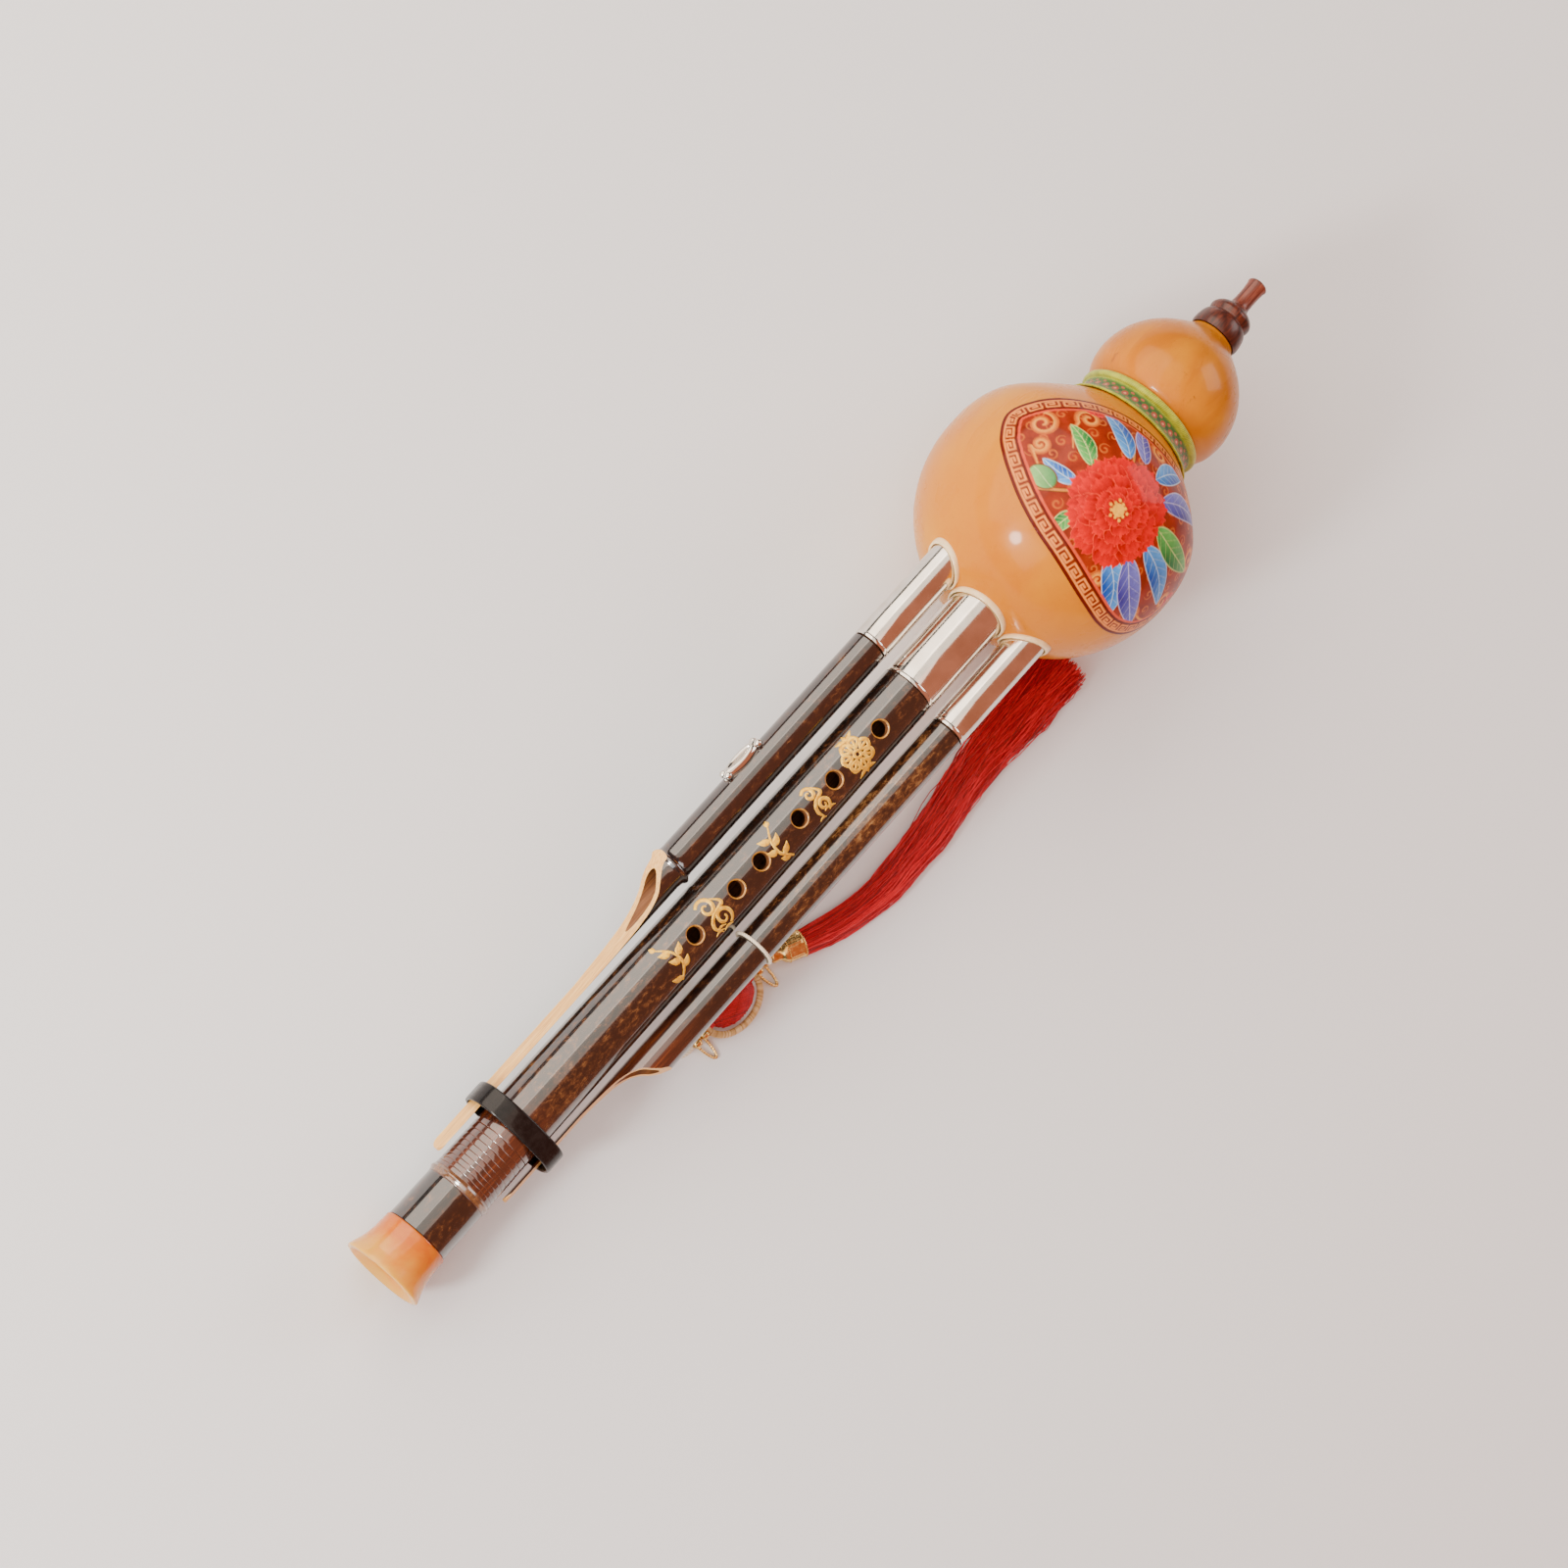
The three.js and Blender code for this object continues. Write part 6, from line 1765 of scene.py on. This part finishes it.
def makeMedallion():
    m = medallion
    n = m["grid"]
    g = np.linspace(-1, 1, n)
    a, b = np.meshgrid(g, g, indexing="ij")
    # concentric map of the square to the disc, and of the disc to the egg
    wide = np.abs(a) >= np.abs(b)
    r = np.where(wide, a, b)
    safe = np.where(np.abs(r) < 1e-9, 1, r)
    phi = np.where(wide, math.pi / 4 * b / safe, math.pi / 2 - math.pi / 4 * a / safe).ravel()
    share, phi = np.abs(r).ravel(), np.where(r.ravel() < 0, phi + math.pi, phi)
    middle = np.array(m["middle"])
    edge = splineThrough(m["edge"], 10, True)
    edge = np.concatenate([edge, edge[:1]])
    turnOf = np.unwrap(np.arctan2(edge[:, 1] - middle[1], edge[:, 0] - middle[0]))
    reachOf = np.linalg.norm(edge - middle, axis=1)
    order = np.argsort(turnOf % (2 * math.pi))
    far = share * np.interp(phi % (2 * math.pi), (turnOf % (2 * math.pi))[order], reachOf[order],
                            period=2 * math.pi)
    x, y = middle[0] + far * np.cos(phi), middle[1] + far * np.sin(phi)

    # distance inside the edge, and the way gone along it
    gone = wayAlong(edge)
    inside, passed = np.full(n * n, 1e3), np.zeros(n * n)
    for (ax, ay), (bx, by), start in zip(edge[:-1], edge[1:], gone):
        dx, dy = bx - ax, by - ay
        t = np.clip(((x - ax) * dx + (y - ay) * dy) / (dx * dx + dy * dy), 0, 1)
        off = np.hypot(x - ax - t * dx, y - ay - t * dy)
        nearer = off < inside
        inside = np.where(nearer, off, inside)
        passed = np.where(nearer, start + t * math.hypot(dx, dy), passed)

    lat, lon = m["latitude"], m["longitude"]
    centre = np.array([math.sin(lat), math.cos(lat) * math.sin(lon), math.cos(lat) * math.cos(lon)])
    along = np.array([1.0, 0, 0]) - centre * centre[0]
    along /= np.linalg.norm(along)
    side = np.cross(centre, along)
    profile = gourdOuter()
    seen, reach = np.arctan2(profile[:, 1], profile[:, 0])[::-1], np.linalg.norm(profile, axis=1)[::-1]

    def skin(px, py, lift):
        t, turn = np.hypot(px, py) / m["ball"], np.arctan2(py, px)
        away = np.cos(turn)[:, None] * along + np.sin(turn)[:, None] * side
        d = np.cos(t)[:, None] * centre + np.sin(t)[:, None] * away
        polar = np.arctan2(np.hypot(d[:, 1], d[:, 2]), d[:, 0])
        return d * (np.interp(polar, seen, reach) + lift)[:, None]

    top = skin(x, y, m["above"])
    index = np.arange(n * n).reshape(n, n)
    corners = [index[:-1, :-1], index[1:, :-1], index[1:, 1:], index[:-1, 1:]]
    faces = np.stack(corners, -1).reshape(-1, 4).tolist()
    rim = np.concatenate([index[:-1, 0], index[-1, :-1], index[:0:-1, -1], index[0, :0:-1]])
    skirt = skin(x[rim] * m["skirtReach"], y[rim] * m["skirtReach"], -m["below"])
    count = len(rim)
    for k in range(count):
        l = (k + 1) % count
        faces.append((int(rim[l]), int(rim[k]), n * n + k, n * n + l))
    piece = newPiece("medallionPainting", gourdToWorld(np.concatenate([top, skirt])), faces, [medallionPaint])
    paper = paintMedallion(x, y, inside, passed, gone[-1])
    shades = np.concatenate([paper.color, np.tile(shadeOf(m["skirtColor"]), (count, 1))])
    layer = piece.data.attributes.new("paint", "FLOAT_COLOR", "POINT")
    shades = np.concatenate([shades, np.ones((len(shades), 1))], 1)
    layer.data.foreach_set("color", shades.astype(np.float32).ravel())
    pointValues(piece, "relief", np.concatenate([paper.height, np.zeros(count)]))
    settle(piece, "gourd", "gourd", "gourd_shell")


# the marks' places along the pipe, with half their width and half their length round it
goldWork = {"proud": 0.14, "sunk": -0.12, "shoulder": 0.07, "spacing": 0.35, "heavy": 1.45,
            "places": (129.5, 149.3, 178.6, 197.2, 216.6), "halves": (4.3, 4.9, 4.1, 3.4, 6.4),
            "reaches": (7.6, 7.2, 7.4, 6.8, 7.6)}


def goldStroke(points, widths):
    # A raised stroke of gold on the round of the pipe, given along the pipe and round it in millimetres.
    p = evenly(splineThrough(points, 8) if len(points) > 2 else points, goldWork["spacing"])
    tangent = np.gradient(p, axis=0)
    tangent /= np.maximum(np.linalg.norm(tangent, axis=1), 1e-9)[:, None]
    side = np.stack([-tangent[:, 1], tangent[:, 0]], -1)
    half = goldWork["heavy"] * np.interp(np.linspace(0, 1, len(p)), np.linspace(0, 1, len(widths)), widths)
    rings = []
    lifts = [goldWork[key] for key in ("sunk", "shoulder", "proud", "proud", "shoulder", "sunk")]
    for across, lift in zip((-1.0, -0.8, -0.3, 0.3, 0.8, 1.0), lifts):
        at = p + side * (half * across)[:, None]
        radius = pipeRadius(at[:, 0])
        reach, angle = radius + lift, at[:, 1] / radius
        rings.append(np.stack([at[:, 0], reach * np.sin(angle), reach * np.cos(angle)], -1))
    return np.array(rings).transpose(1, 0, 2)


def sprig(rng, at, half, reach):
    # a bowed stem with round leaves on either side by turns, and a bud at its tip
    bow = half * rng.choice((-0.4, 0.4))
    stem = [(at - bow, -reach), (at + bow, -reach * 0.35), (at + bow * 0.7, reach * 0.25),
            (at - bow, reach * 0.78)]
    strokes = [(stem, (0.3, 0.4, 0.32, 0.2))]
    line = splineThrough(stem, 10)
    for k, share in enumerate((0.08, 0.24, 0.40, 0.56, 0.72)):
        root = line[int(share * (len(line) - 1))]
        hand = 1 if k % 2 else -1
        tip = (root[0] + hand * half * rng.uniform(0.78, 0.92), root[1] + rng.uniform(1.8, 2.6))
        middle = ((root[0] + tip[0]) / 2 + 0.2 * hand, (root[1] + tip[1]) / 2 - 0.35)
        strokes.append(([tuple(root), middle, tip], (0.14, 0.85, 0.9, 0.5, 0.06)))
    bud = [stem[-1], (stem[-1][0] - bow * 0.3, reach * 0.9), (stem[-1][0] - bow * 0.6, reach * 1.04)]
    strokes.append((bud, (0.2, 0.7, 0.75, 0.1)))
    return strokes


def cloud(rng, at, half, reach):
    # two curls joined by a wave, with short trails
    strokes = []
    for hand, middle in ((1, (at - half * 0.25, reach * 0.42)), (-1, (at + half * 0.2, -reach * 0.40))):
        a = np.linspace(0, 2.6 * math.pi, 26)
        r = half * (0.12 + 0.52 * a / a[-1])
        curl = [(middle[0] + q * math.cos(hand * b + 0.6), middle[1] + 1.15 * q * math.sin(hand * b + 0.6))
                for q, b in zip(r, a)]
        strokes.append((curl, (0.24, 0.42, 0.5, 0.5, 0.4)))
    strokes.append(([(at + half * 0.35, reach * 0.62), (at + half * 0.75, reach * 0.15),
                     (at - half * 0.3, -reach * 0.05), (at - half * 0.75, -reach * 0.45),
                     (at - half * 0.4, -reach * 0.95)], (0.12, 0.5, 0.42, 0.5, 0.1)))
    for k in range(3):
        x, y = at + half * rng.uniform(-0.8, 0.8), reach * (-0.95 + 0.12 * k)
        strokes.append(([(x - half * 0.35, y), (x, y + 0.5), (x + half * 0.4, y - 0.2)], (0.1, 0.4, 0.08)))
    return strokes


def blossomMark(rng, at, half, reach):
    # a full flower between two leaves
    def out(r, a):
        return at + r * math.cos(a), r * math.sin(a)

    strokes = []
    near, far, turn = half * 0.28, half * 0.72, 0.36
    for k in range(7):
        a = 2 * math.pi * k / 7 + 0.2
        petal = [out(near, a), out(far, a - turn), out(far * 1.18, a), out(far, a + turn), out(near, a)]
        strokes.append((petal, (0.3, 0.46, 0.55, 0.46, 0.3)))
        strokes.append(([out(near, a), out(far, a)], (0.42, 0.3)))
    strokes.append(([out(half * 0.18, a) for a in np.linspace(0, 2 * math.pi, 13)], (0.4, 0.4)))
    for hand in (-1, 1):
        root = (at + hand * half * 0.1, hand * half * 0.85)
        for lean in (-0.7, 0.0, 0.7):
            tip = (root[0] + lean * half * 0.8, hand * reach * (1.0 - 0.12 * abs(lean)))
            middle = ((root[0] + tip[0]) / 2 + 0.2, (root[1] + tip[1]) / 2)
            strokes.append(([root, middle, tip], (0.2, 0.7, 0.08)))
    return strokes


def makeGoldWork():
    rng = np.random.default_rng(12)
    marks = (sprig, cloud, sprig, cloud, blossomMark)
    points, faces = [], []
    for mark, at, half, reach in zip(marks, goldWork["places"], goldWork["halves"], goldWork["reaches"]):
        for stroke, widths in mark(rng, at, half, reach):
            rings = goldStroke(stroke, widths)
            faces += tubeFaces(*rings.shape[:2], start=len(points))
            points.extend(rings.reshape(-1, 3))
    piece = newPiece("goldWork", toWorld(points), faces, [gold])
    crisp(piece, 60)
    settle(piece, "main_pipe", "gilt", "main_pipe")


makeMedallion()
print("medallion ready")
makeGoldWork()
print("gold work ready")
